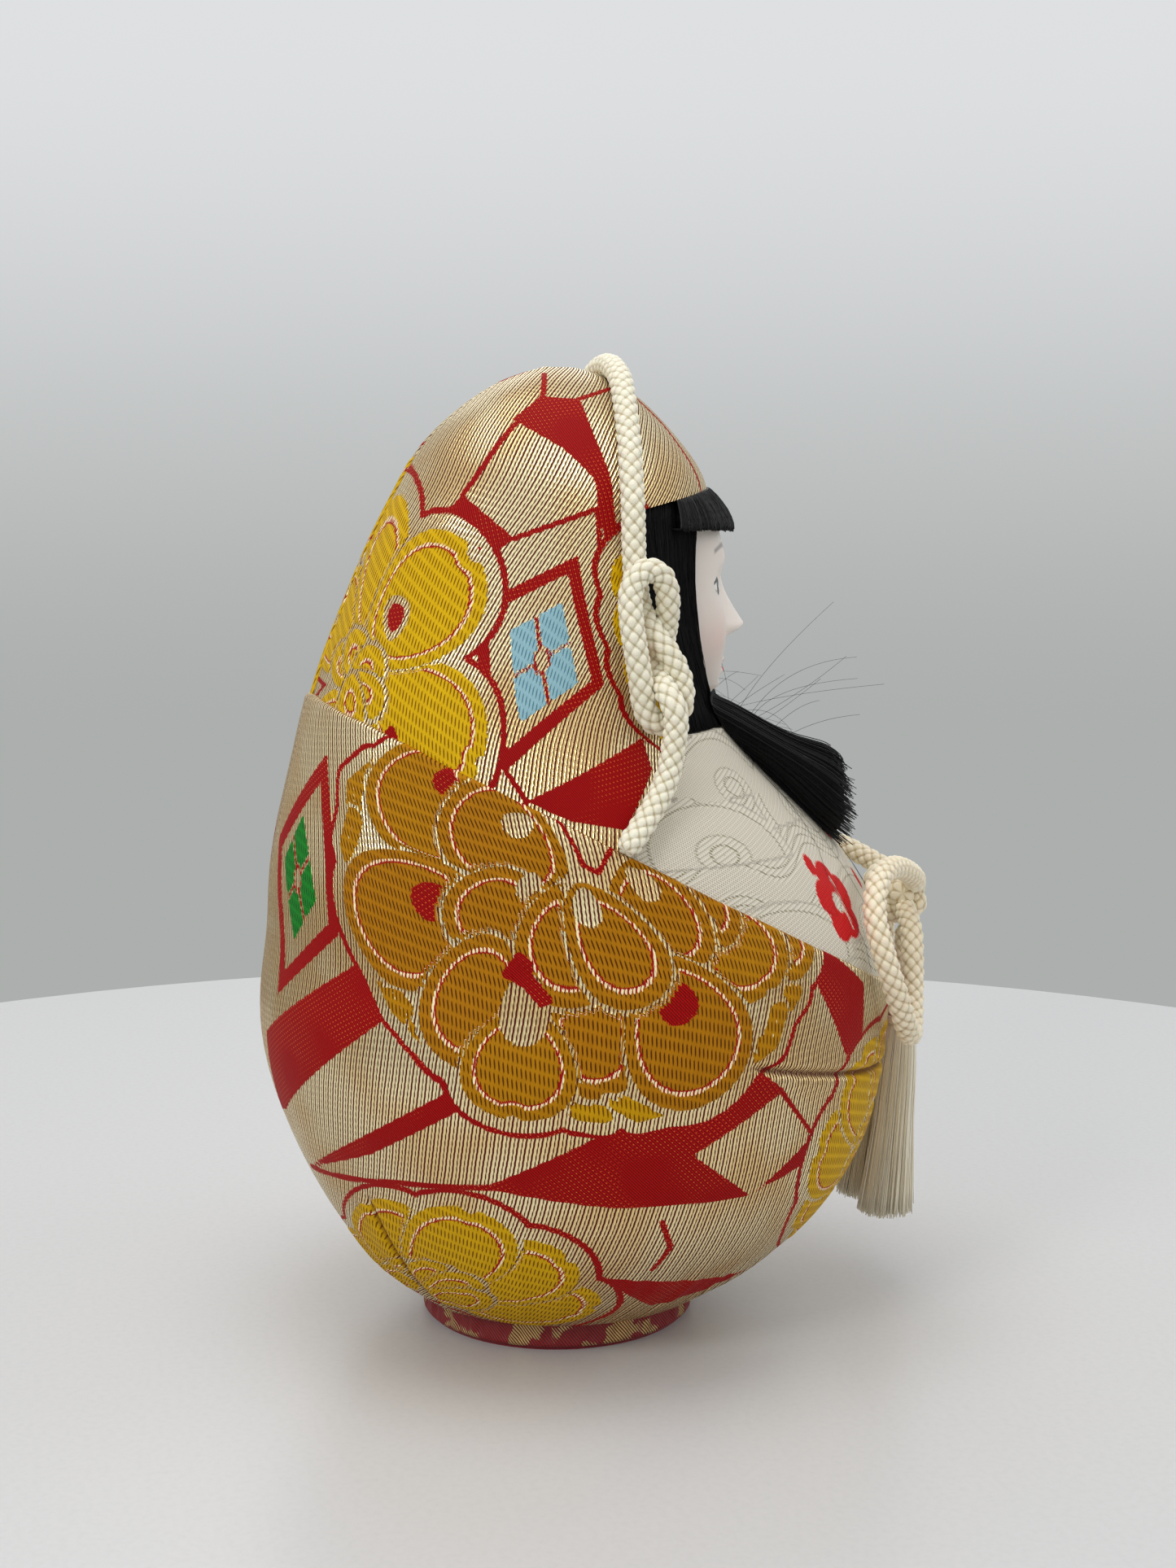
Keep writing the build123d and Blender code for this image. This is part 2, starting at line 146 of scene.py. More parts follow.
def ramp(tree, value, low, high):
    # 0 below low, 1 above high, smooth between
    node = tree.nodes.new("ShaderNodeMapRange")
    node.interpolation_type = "SMOOTHSTEP"
    feed(tree, node.inputs[0], value)
    node.inputs[1].default_value = low
    node.inputs[2].default_value = high
    return node.outputs[0]


def blendColours(tree, amount, first, second):
    node = tree.nodes.new("ShaderNodeMix")
    node.data_type = "RGBA"
    feed(tree, node.inputs[0], amount)
    feed(tree, node.inputs[6], first)
    feed(tree, node.inputs[7], second)
    return node.outputs[2]


def blendValues(tree, amount, first, second):
    node = tree.nodes.new("ShaderNodeMix")
    feed(tree, node.inputs[0], amount)
    feed(tree, node.inputs[2], first)
    feed(tree, node.inputs[3], second)
    return node.outputs[0]


def attribute(tree, label):
    node = tree.nodes.new("ShaderNodeAttribute")
    node.attribute_name = label
    return node.outputs["Fac"]


def noise(tree, scale, detail=3.0, stretch=(1, 1, 1)):
    # noise in object space, scale in lumps per metre
    place = tree.nodes.new("ShaderNodeTexCoord")
    mapping = tree.nodes.new("ShaderNodeMapping")
    mapping.inputs["Scale"].default_value = stretch
    tree.links.new(place.outputs["Object"], mapping.inputs["Vector"])
    node = tree.nodes.new("ShaderNodeTexNoise")
    node.inputs["Scale"].default_value = scale
    node.inputs["Detail"].default_value = detail
    tree.links.new(mapping.outputs[0], node.inputs["Vector"])
    return node.outputs["Fac"]


def wave(tree, value, pitch):
    # -1..1 wave of a length in millimetres
    return calc(tree, "SINE", calc(tree, "MULTIPLY", value, 2 * math.pi / pitch))


def newMaterial(name, roughness=0.6, metallic=0.0, specular=0.5):
    material = bpy.data.materials.new(name)
    material.use_nodes = True
    tree = material.node_tree
    shader = tree.nodes["Principled BSDF"]
    shader.inputs["Roughness"].default_value = roughness
    shader.inputs["Metallic"].default_value = metallic
    shader.inputs["Specular IOR Level"].default_value = specular
    return material, tree, shader


def bump(tree, shader, height, distance, strength=1.0):
    # height 0..1 stands for distance in millimetres
    node = tree.nodes.new("ShaderNodeBump")
    node.inputs["Strength"].default_value = strength
    node.inputs["Distance"].default_value = distance * mm
    tree.links.new(height, node.inputs["Height"])
    tree.links.new(node.outputs[0], shader.inputs["Normal"])


cameraSettings = {
    "place": (-331.3, 76.5, 126.2),
    "aim": (-1.15, -4.8, 84.45),
    "lens": 50.0,
}
stageSettings = {
    "radius": 270.0,
    "rim": 6.0,             # rounded edge of the table
    "colour": tint(210, 209, 208),
    "speck": tint(205, 204, 203),
    "worldLow": tint(172, 175, 173),
    "worldHigh": tint(222, 224, 226),
    "worldRise": (-0.1, 0.22),
}
lightSettings = {
    "aim": (0, 0, 75),
    # name, place, size, power
    "lamps": [
        ("above", (-60, 40, 620), 360, 0.9),
        ("behindRight", (-420, 420, 420), 180, 0.95),
        ("front", (-120, -620, 330), 300, 0.35),
        ("left", (520, -60, 360), 260, 0.2),
    ],
}


def makeCamera():
    camera = bpy.data.cameras.new("camera")
    camera.lens = cameraSettings["lens"]
    camera.sensor_width = 36
    camera.clip_start = 0.01
    holder = bpy.data.objects.new("camera", camera)
    place = Vector(cameraSettings["place"]) * mm
    aim = Vector(cameraSettings["aim"]) * mm
    holder.location = place
    holder.rotation_euler = (aim - place).to_track_quat("-Z", "Y").to_euler()
    bpy.context.scene.collection.objects.link(holder)
    bpy.context.scene.camera = holder


def makeStage():
    around = np.linspace(0, 2 * math.pi, 97)[:-1]
    radius = stageSettings["radius"]
    rim = stageSettings["rim"]
    flat = radius - rim
    rings = [(2, 0), (60, 0), (radius * 0.6, 0), (flat, 0)]
    rings += [(flat + rim * math.sin(a), rim * math.cos(a) - rim) for a in np.linspace(0.1, 1.5, 8)]
    rings += [(radius, -20)]
    points = np.array([[(r * math.cos(a), r * math.sin(a), z) for a in around] for r, z in rings])
    floor = sheetObject("floor", points, wrap=True)
    addFaces(floor, [list(range(len(around)))[::-1]])
    material, tree, shader = newMaterial("paleFloor", 0.36)
    speck = ramp(tree, noise(tree, 900, 2), 0.3, 0.9)
    colour = blendColours(tree, speck, stageSettings["colour"], stageSettings["speck"])
    tree.links.new(colour, shader.inputs["Base Color"])
    floor.data.materials.append(material)


def makeLights():
    # grey studio, a little darker just above the table than overhead
    world = bpy.data.worlds.new("studio")
    world.use_nodes = True
    tree = world.node_tree
    direction = tree.nodes.new("ShaderNodeTexCoord")
    parts = tree.nodes.new("ShaderNodeSeparateXYZ")
    tree.links.new(direction.outputs["Generated"], parts.inputs[0])
    high = ramp(tree, parts.outputs[2], *stageSettings["worldRise"])
    colour = blendColours(tree, high, stageSettings["worldLow"], stageSettings["worldHigh"])
    tree.links.new(colour, tree.nodes["Background"].inputs[0])
    tree.nodes["Background"].inputs[1].default_value = 1.0
    bpy.context.scene.world = world
    bpy.context.scene.view_settings.view_transform = "Standard"
    for name, place, size, power in lightSettings["lamps"]:
        light = bpy.data.lights.new(name, "AREA")
        light.shape = "DISK"
        light.size = size * mm
        light.energy = power
        holder = bpy.data.objects.new(name, light)
        holder.location = Vector(place) * mm
        aim = Vector(lightSettings["aim"]) * mm
        holder.rotation_euler = (aim - holder.location).to_track_quat("-Z", "Y").to_euler()
        bpy.context.scene.collection.objects.link(holder)


cordSettings = {
    "diameter": 3.7,
    "strands": 5,           # plump grains round the cord
    "grain": 2.1,           # length of one grain
    "plump": 0.52,          # how far a grain swells out of the groove
    "around": 56,
    "step": 0.24,
    # the second colour of each pair is painted shade for the grooves between the grains
    "white": (tint(246, 240, 218), tint(186, 168, 122)),    # on the grains, between them
    "cream": (tint(248, 236, 208), tint(192, 164, 112)),
}
# the hood cord's right half from the crown down to its end under the robe
hoodCordHalf = [
    (-10.2, -7.5, 147.5), (-16.5, -6.6, 143.1), (-21.7, -5.9, 137.6), (-25.6, -5.2, 132.3),
    (-27.9, -4.9, 127.1), (-28.9, -4.7, 121.6), (-29.4, -4.8, 117.7), (-29.5, -5.1, 115.0),
    (-30.1, -5.6, 112.5), (-31.7, -6.2, 110.7), (-33.2, -7.1, 108.8), (-34.0, -8.9, 106.4),
    (-34.2, -10.2, 103.6), (-34.6, -10.5, 101.2), (-34.9, -10.1, 99.0), (-35.1, -8.4, 97.0),
    (-35.3, -6.0, 97.0), (-35.8, -4.4, 99.2), (-36.2, -3.8, 103.4), (-35.9, -3.2, 107.3),
    (-35.3, -2.7, 111.2), (-34.2, -2.7, 115.0), (-33.7, -3.5, 117.3), (-33.3, -5.2, 118.8),
    (-33.0, -7.2, 118.5), (-32.6, -8.5, 116.8), (-31.8, -9.1, 114.0), (-29.9, -9.3, 110.6),
    (-30.0, -8.7, 108.0), (-31.0, -7.8, 105.4), (-33.6, -7.3, 103.0), (-37.4, -7.2, 101.8),
    (-39.2, -7.8, 100.0), (-39.4, -8.2, 97.8), (-39.5, -7.9, 95.0), (-40.2, -6.7, 89.7),
    (-42.3, -3.5, 84.9), (-45.0, 0.7, 80.6),
]
crownPoint = (0, -7.9, 150.0)
# the bow's right ear: out of the knot, along the chest, down, and back into the knot
bowEarPoints = [
    (-2.6, -59.4, 66.8), (-8.6, -57.2, 68.4), (-14.4, -53.4, 70.8), (-20.4, -48.6, 72.8),
    (-26.6, -43.8, 72.6), (-31.2, -41.0, 68.0), (-33.4, -42.2, 61.2), (-32.0, -45.2, 54.0),
    (-27.4, -48.6, 48.0), (-21.0, -51.8, 46.0), (-16.0, -54.0, 49.6), (-13.2, -55.0, 56.6),
    (-9.4, -56.3, 61.6), (-2.6, -57.2, 63.6),
]
sides = {"right": -1, "left": 1}


def lengthAlong(line):
    return np.concatenate([[0], np.cumsum(np.linalg.norm(np.diff(line, axis=0), axis=1))])


def evenLine(line):
    # the same line with its places evenly spaced
    gone = lengthAlong(line)
    even = np.linspace(0, gone[-1], max(8, int(gone[-1] / cordSettings["step"])))
    return np.stack([np.interp(even, gone, line[:, k]) for k in range(3)], -1)


def cordLine(points):
    # evenly spaced places along the smooth line that the given points steer
    curve = bpy.data.curves.new("cordLine", "CURVE")
    curve.dimensions = "3D"
    curve.resolution_u = 24
    spline = curve.splines.new("NURBS")
    spline.points.add(len(points) - 1)
    for control, point in zip(spline.points, points):
        control.co = (*[c * mm for c in point], 1)
    spline.order_u = 3
    spline.use_endpoint_u = True
    holder = bpy.data.objects.new("cordLine", curve)
    mesh = bpy.data.meshes.new_from_object(holder)
    line = np.array([v.co[:] for v in mesh.vertices]) / mm
    bpy.data.objects.remove(holder)
    bpy.data.meshes.remove(mesh)
    bpy.data.curves.remove(curve)
    return evenLine(line)


def carriedFrame(line):
    # two directions square to the line that turn with it and never twist round it
    tangent = np.gradient(line, axis=0)
    tangent /= np.linalg.norm(tangent, axis=1, keepdims=True)
    first = np.cross(tangent[0], (0.3, 0.2, 0.9))
    first /= np.linalg.norm(first)
    normals = [first]
    for direction in tangent[1:]:
        carried = normals[-1] - direction * np.dot(normals[-1], direction)
        normals.append(carried / np.linalg.norm(carried))
    normals = np.array(normals)
    return normals, np.cross(tangent, normals)


def ringAbout(normal, binormal, angles):
    return (normal[:, None] * np.cos(angles)[None, :, None]
            + binormal[:, None] * np.sin(angles)[None, :, None])


def braidedTube(name, line, radius, strands=None, grain=None, plump=None, around=None):
    # tube of plump grains: two families of threads cross and take turns on top
    strands = strands or cordSettings["strands"]
    grain = grain or cordSettings["grain"]
    plump = cordSettings["plump"] if plump is None else plump
    around = around or cordSettings["around"]
    normal, binormal = carriedFrame(line)
    gone = lengthAlong(line)
    turn = np.arange(around) / around
    a = strands * turn[None, :] + gone[:, None] / grain
    b = strands * turn[None, :] - gone[:, None] / grain
    fa, fb = a - np.floor(a), b - np.floor(b)
    onTop = (np.floor(a) + np.floor(b)) % 2 < 1
    across = np.where(onTop, fb, fa) * 2 - 1
    lengthwise = np.where(onTop, fa, fb) * 2 - 1
    swell = np.sqrt(np.clip(1 - 0.95 * across ** 2, 0, 1)) * (1 - 0.7 * np.abs(lengthwise) ** 2.4)
    reach = radius - plump + plump * swell
    endFade = np.minimum(gone, gone[-1] - gone)
    reach *= np.sqrt(np.clip(endFade / radius * 0.8 + 0.45, 0, 1))[:, None]
    points = line[:, None] + ringAbout(normal, binormal, 2 * math.pi * turn) * reach[..., None]
    rows = len(line)
    verts = np.concatenate([points.reshape(-1, 3), line[:1], line[-1:]])
    faces = gridFaces(rows, around, wrap=True)[:, ::-1].tolist()
    first, last = rows * around, rows * around + 1
    faces += [[first, c, (c + 1) % around] for c in range(around)]
    tip = (rows - 1) * around
    faces += [[last, tip + (c + 1) % around, tip + c] for c in range(around)]
    ends = [0.5, 0.5]
    # swell also sets how much painted shade the braid material lays on
    layers = {"swell": np.concatenate([swell.ravel(), ends]),
              "across": np.concatenate([across.ravel(), ends])}
    return meshObject(name, verts, faces, layers)


def braidMaterial(name, light, shade):
    # silk braid: fine threads along each grain, with painted shade, darker and warmer, in the grooves
    material, tree, shader = newMaterial(name, 0.55)
    swell = attribute(tree, "swell")
    thread = wave(tree, attribute(tree, "across"), 0.42)
    fibre = noise(tree, 9000, 2)
    # painted shade: the grain colour turns to the shade colour where the surface sinks into a groove
    depth = ramp(tree, swell, 0.05, 0.75)
    colour = blendColours(tree, depth, shade, light)
    dirt = ramp(tree, noise(tree, 260, 3), 0.35, 0.75)
    colour = blendColours(tree, calc(tree, "MULTIPLY", dirt, 0.16), colour, shade)
    tree.links.new(colour, shader.inputs["Base Color"])
    height = calc(tree, "ADD", calc(tree, "MULTIPLY", thread, 0.25), calc(tree, "MULTIPLY", fibre, 0.7))
    bump(tree, shader, height, 0.06, 0.6)
    shader.inputs["Sheen Weight"].default_value = 0.35
    shader.inputs["Sheen Roughness"].default_value = 0.4
    shader.inputs["Subsurface Weight"].default_value = 0.12
    shader.inputs["Subsurface Scale"].default_value = 0.0008
    return material


def makeCords():
    whiteBraid = braidMaterial("whiteBraid", *cordSettings["white"])
    creamBraid = braidMaterial("creamBraid", *cordSettings["cream"])
    radius = cordSettings["diameter"] / 2
    left = [(-x, y, z) for x, y, z in reversed(hoodCordHalf)]
    line = cordLine(left + [crownPoint] + hoodCordHalf)
    hoodCord = braidedTube("hoodCord", line, radius)
    dress(hoodCord, whiteBraid, "doll", "white_cord", "hood_cord")
    for name, side in sides.items():
        line = cordLine([(-side * x, y, z) for x, y, z in bowEarPoints])
        ear = braidedTube("bowEar" + name.capitalize(), line, radius)
        dress(ear, creamBraid, "doll", "cream_cord", "bow_ear_" + name)
    return creamBraid


makeCamera()
creamBraid = makeCords()
makeStage()
makeLights()
print("camera, cords, stage and light are in place")


bodyForm = {
    # height, reach back, reach forward, half width
    "stations": [
        (5.0, 22.8, 23.8, 23.3), (10.0, 28.6, 31.6, 30.2), (16.0, 33.4, 38.6, 36.6),
        (24.0, 38.2, 45.0, 42.2), (34.0, 42.6, 49.4, 46.0), (44.0, 45.4, 51.0, 47.8),
        (54.0, 45.8, 52.3, 47.6), (63.0, 44.7, 51.4, 46.4), (70.0, 44.3, 47.8, 45.0),
        (77.0, 43.3, 42.6, 43.4), (84.0, 41.8, 35.6, 41.2), (91.0, 40.1, 28.6, 38.6),
        (98.0, 38.4, 24.2, 35.8), (106.0, 35.8, 23.0, 32.8), (115.0, 32.2, 22.4, 29.8),
        (124.0, 28.2, 23.0, 27.0), (131.0, 24.5, 23.0, 24.4), (137.0, 20.8, 19.6, 20.4),
        (142.5, 15.0, 14.6, 15.4), (146.3, 9.2, 9.8, 10.2), (148.8, 2.4, 3.4, 3.4),
    ],
    "shoulder": 124.0,      # above this cloth is offset more and more upwards
    "fold": 0.8,            # the robe stands this far proud of the hood and the chest
    "lap": 7.0,
    "robeEdge": (79.6, 0.52),       # height on the axis, rise per mm towards the back
    "bandEdge": (125.5, -0.23),
    "chinShelf": 94.6,
    # front edge of the hood from the side: forward, height
    "hoodEdge": [
        (7.6, 152.0), (6.2, 138.0), (5.6, 126.0), (7.0, 114.0), (9.6, 104.0),
        (10.6, 97.0), (8.8, 90.5), (4.0, 84.0), (-1.5, 78.0), (-7.0, 72.0),
    ],
}


def splineThrough(places, values, wanted):
    # natural cubic line through values at places
    gaps = np.diff(places)
    slopes = np.diff(values) / gaps
    count = len(places)
    system = np.eye(count)
    right = np.zeros(count)
    for k in range(1, count - 1):
        system[k, k - 1:k + 2] = gaps[k - 1], 2 * (gaps[k - 1] + gaps[k]), gaps[k]
        right[k] = 6 * (slopes[k] - slopes[k - 1])
    bend = np.linalg.solve(system, right)
    k = np.clip(np.searchsorted(places, wanted) - 1, 0, count - 2)
    before, after, gap = wanted - places[k], places[k + 1] - wanted, gaps[k]
    return ((bend[k] * after ** 3 + bend[k + 1] * before ** 3) / (6 * gap)
            + (values[k] / gap - bend[k] * gap / 6) * after
            + (values[k + 1] / gap - bend[k + 1] * gap / 6) * before)


stationTable = np.array(bodyForm["stations"])
chord = lengthAlong(stationTable[:, [0, 3]])
fineChord = np.linspace(0, chord[-1], 1600)
profileTable = np.stack([splineThrough(chord, stationTable[:, k], fineChord) for k in range(4)], -1)
profileRun = stationTable[0, 0] + lengthAlong(profileTable[:, [0, 3]])
edgeTable = np.array(bodyForm["hoodEdge"])[::-1]
fineAngles = np.linspace(0, 2 * math.pi, 721)


def profile(run):
    # height, reach back, reach forward and half width at a run up the side of the egg
    return [np.interp(run, profileRun, profileTable[:, k]) for k in range(4)]


def onBody(angle, run, lift):
    # place on the egg, lifted off it
    height, back, front, width = profile(run)
    shoulder = bodyForm["shoulder"]
    rise = np.clip((height - shoulder) / (stationTable[-1, 0] - shoulder), 0, 1) ** 2
    grow = lift * np.sqrt(1 - 0.75 * rise)
    x = -(width + grow) * np.sin(angle)
    y = (back - front) / 2 + ((back + front) / 2 + grow) * np.cos(angle)
    return np.stack(np.broadcast_arrays(x, y, height + lift * rise), -1)


def roundRun(angle, run):
    # length round the body from the side line, positive to the front, the same on both sides
    _, back, front, width = profile(run)
    depth = (back + front) / 2
    half = np.where(angle > math.pi, 2 * math.pi - angle, angle) - math.pi / 2
    mean = (width + depth) / 2
    return mean * half - (depth - width) / 4 * np.sin(2 * half)


def runAtPlane(height, slope):
    # run up the side where each angle meets the plane z = height + slope * y
    runs = np.linspace(profileRun[0], profileRun[-1], 900)
    spots = onBody(fineAngles[:, None], runs[None, :], 0.0)
    above = spots[..., 2] - height - slope * spots[..., 1]
    first = np.argmax(above > 0, axis=1)
    each = np.arange(len(first))
    low, high = above[each, first - 1], above[each, first]
    return runs[first - 1] - low * (runs[first] - runs[first - 1]) / (high - low)


def edgeAngle(run):
    # angle of the hood's front edge at a run; half a turn where the hood closes over the crown
    height, back, front, _ = profile(run)
    forward = np.interp(height, edgeTable[:, 1], edgeTable[:, 0])
    share = (-forward - (back - front) / 2) / ((back + front) / 2)
    return np.arccos(np.clip(share, -1, 1))


def skinDepth(x, z, clear, grow=0.2):
    # y just in front of the body at a place across and up
    height = np.clip(z, profileTable[0, 0], profileTable[-1, 0])
    _, back, front, half = profile(np.interp(height, profileTable[:, 0], profileRun))
    share = np.clip(1 - (x / (half + grow)) ** 2, 0.02, 1)
    return (back - front) / 2 - (back + front) / 2 * np.sqrt(share) - clear


robeRun = runAtPlane(*bodyForm["robeEdge"])
lapRun = runAtPlane(bodyForm["robeEdge"][0] - bodyForm["lap"], bodyForm["robeEdge"][1])
bandRun = runAtPlane(*bodyForm["bandEdge"])
shelfRun = float(np.interp(bodyForm["chinShelf"], profileTable[:, 0], profileRun))


# Each figure is a signed distance in millimetres, positive inside, over s (round the body)
# and t (up it). The weave shader turns them into coloured threads.
def insideOutline(s, t, corners):
    nearest = np.full(s.shape, 1e3)
    inside = np.zeros(s.shape, bool)
    for (ax, ay), (bx, by) in zip(corners, corners[1:] + corners[:1]):
        ex, ey = bx - ax, by - ay
        share = np.clip(((s - ax) * ex + (t - ay) * ey) / (ex * ex + ey * ey), 0, 1)
        nearest = np.minimum(nearest, np.hypot(s - ax - share * ex, t - ay - share * ey))
        if ey:
            inside ^= ((ay > t) != (by > t)) & (s < ex * (t - ay) / ey + ax)
    return np.where(inside, nearest, -nearest)


def nearLine(s, t, points, width):
    nearest = np.full(s.shape, 1e3)
    for (ax, ay), (bx, by) in zip(points, points[1:]):
        ex, ey = bx - ax, by - ay
        share = np.clip(((s - ax) * ex + (t - ay) * ey) / (ex * ex + ey * ey), 0, 1)
        nearest = np.minimum(nearest, np.hypot(s - ax - share * ex, t - ay - share * ey))
    return width / 2 - nearest


def insidePetal(s, t, place, size, turn, notch=0.0):
    # egg-shaped petal, wide at its outer end, which may be notched like a heart
    c, d = math.cos(math.radians(turn)), math.sin(math.radians(turn))
    u = (s - place[0]) * c + (t - place[1]) * d
    v = -(s - place[0]) * d + (t - place[1]) * c
    half, wide = size[0] / 2, size[1] / 2
    wideHere = wide * (1 + 0.28 * np.clip(u / half, -1, 1))
    reach = 1 - np.sqrt((u / half) ** 2 + (v / wideHere) ** 2)
    shape = reach * min(half, wide)
    if notch:
        shape = np.minimum(shape, np.hypot(u - half - notch * 0.4, v) - notch)
    return shape


class Cloth:
    # woven layers over the points of one panel
    def __init__(self, s, t):
        self.s, self.t = s, t
        self.red = np.full(s.shape, -9.0)
        self.petal = np.full(s.shape, -9.0)     # the topmost petal
        self.flower = np.full(s.shape, -9.0)    # all petals together
        self.square = np.full(s.shape, -9.0)
        self.spot = np.full(s.shape, -9.0)      # red eyes in petals
        self.bare = np.full(s.shape, -9.0)      # foil eyes in petals
        self.tone = np.zeros(s.shape)
        self.seam = np.full(s.shape, 9.0)

    def paintRed(self, corners):
        self.red = np.maximum(self.red, insideOutline(self.s, self.t, corners))

    def paintLine(self, points, width=0.9):
        self.red = np.maximum(self.red, nearLine(self.s, self.t, points, width))

    def paintFrame(self, corners, width):
        shape = insideOutline(self.s, self.t, corners)
        self.red = np.maximum(self.red, width / 2 - np.abs(shape - width / 2))

    def paintSquares(self, corners):
        # four squares parted by a cross, with a small square left open in the middle
        shape = insideOutline(self.s, self.t, corners)
        ends = zip(corners, corners[1:] + corners[:1])
        mid = [tuple((np.array(p) + np.array(q)) / 2) for p, q in ends]
        centre = np.mean(corners, axis=0)
        inner = [tuple(centre + (np.array(p) - centre) * 0.26) for p in corners]
        cross = np.maximum(nearLine(self.s, self.t, [mid[0], mid[2]], 0.0),
                           nearLine(self.s, self.t, [mid[1], mid[3]], 0.0))
        hole = insideOutline(self.s, self.t, inner)
        self.square = np.maximum(self.square, np.minimum.reduce([shape, -cross - 0.38, -hole]))
        self.red = np.maximum(self.red, np.minimum.reduce([shape + 0.2, cross + 0.28, -hole]))
        self.red = np.maximum(self.red, 0.22 - np.abs(hole - 0.1))

    def cover(self, shape, tone):
        # a new petal hides what lies under it, and keeps a thin foil line round itself
        on = shape > -0.6
        self.flower = np.maximum(self.flower, shape)
        self.petal = np.where(on, shape, self.petal)
        self.tone = np.where(on, tone, self.tone)
        self.spot = np.where(on, -9.0, self.spot)
        self.bare = np.where(on, -9.0, self.bare)

    def paintPetal(self, place, size, turn, notch=0.0, tone=0.0):
        self.cover(insidePetal(self.s, self.t, place, size, turn, notch), tone)

    def paintScallop(self, points, width, tone):
        self.cover(nearLine(self.s, self.t, points, width), tone)

    def paintSpot(self, place, size, turn):
        self.spot = np.maximum(self.spot, insidePetal(self.s, self.t, place, size, turn))

    def paintBare(self, place, size, turn):
        self.bare = np.maximum(self.bare, insidePetal(self.s, self.t, place, size, turn))

    def layers(self):
        return {"s": self.s, "t": self.t, "red": self.red, "petal": self.petal, "flower": self.flower,
                "square": self.square, "spot": self.spot, "bare": self.bare, "tone": self.tone,
                "seam": self.seam}

    def relief(self):
        # petals and squares stand a little proud of the ground
        silk = np.minimum(self.petal, -self.bare)
        raised = smoothStep(silk, -0.3, 0.5) * 0.17
        raised -= smoothStep(1 - np.abs(self.petal - 1.85), 0.6, 1) * 0.07    # dips along the outline
        raised += smoothStep(self.square, -0.1, 0.3) * 0.1
        raised += smoothStep(self.red, -0.3, 0.3) * 0.05
        return raised


def petalRing(cloth, centre, radius, size, turns, tone, notch=0.0, spot=None):
    for turn in turns:
        c, d = math.cos(math.radians(turn)), math.sin(math.radians(turn))
        cloth.paintPetal((centre[0] + radius * c, centre[1] + radius * d), size, turn, notch, tone)
        if spot:
            cloth.paintSpot((centre[0] + radius * 0.62 * c, centre[1] + radius * 0.62 * d), spot, turn)


def hoodFigures(cloth):
    cloth.paintRed([(-5.3, 160.3), (0.4, 159.8), (2.5, 148.4), (4.2, 140.4), (7.5, 131.8),
                    (1.8, 139.7), (0.8, 144.2), (-3.4, 149.8), (-10.3, 155.4)])
    cloth.paintRed([(-19.3, 141.9), (-9.8, 135.3), (-17.0, 129.2), (-26.0, 134.8)])
    cloth.paintLine([(-4.2, 168), (-5.3, 160.3), (-19.3, 141.9)])
    cloth.paintLine([(0.4, 159.8), (8.0, 163.5)])
    cloth.paintLine([(-9.8, 135.3), (1.8, 139.7), (7.7, 130.6)])
    cloth.paintLine([(1.8, 139.7), (6.4, 124.0), (8.4, 117.6), (10.8, 112.2)], 0.8)
    cloth.paintFrame([(-14.5, 125.3), (0.3, 132.8), (7.0, 113.6), (-11.6, 101.1)], 1.9)
    cloth.paintSquares([(-8.8, 121.8), (-1.1, 125.9), (2.4, 114.0), (-7.1, 108.4)])
    cloth.paintRed([(-9.8, 97), (7.5, 103.6), (13.2, 105.7), (12.6, 100.9), (3.1, 92.6), (-4.4, 94)])
    cloth.paintRed([(-21.2, 117.5), (-16.4, 119.0), (-14.9, 113.0), (-12.8, 107), (-15.6, 112.6)])
    cloth.paintLine([(-15.4, 114), (-12.4, 104.5), (-9.8, 97), (-13.6, 92)], 0.9)
    cloth.paintRed([(-17.0, 129.2), (-20.5, 126.0), (-15.6, 119.4), (-14.6, 124.8)])
    # five-petalled flower that reaches over the back seam
    cloth.paintPetal((-44.0, 122.0), (21, 17.0), 150, 1.4, 0.0)
    cloth.paintPetal((-42.0, 103.0), (21, 17.0), 235, 1.4, 0.0)
    cloth.paintPetal((-34.0, 128.6), (27, 12.4), 95, 0.0, 0.0)
    cloth.paintSpot((-34.3, 107.7), (3.4, 2.4), 258)
    cloth.paintPetal((-23.6, 108.8), (22, 19.0), -36, 1.5, 0.0)
    cloth.paintSpot((-28.8, 105.8), (3.2, 2.4), 250)
    cloth.paintPetal((-24.4, 125.2), (24, 18.4), 42, 2.0, 0.0)
    cloth.paintBare((-28.3, 123.3), (6.8, 5.2), 80)
    cloth.paintSpot((-28.3, 123.3), (4.4, 3.2), 80)
    petalRing(cloth, (-36.6, 113.6), 3.4, (8.6, 6.2), (150, 92, 30, -30, -95), 0.0)
    # yellow scallops beside the cord
    for s, t, turn in ((9.0, 128.5, 105), (10.6, 121.5, 110), (13.4, 114.5, 115), (16.6, 108.5, 120)):
        cloth.paintPetal((s, t), (9.4, 4.6), turn, 0.0, 0.0)


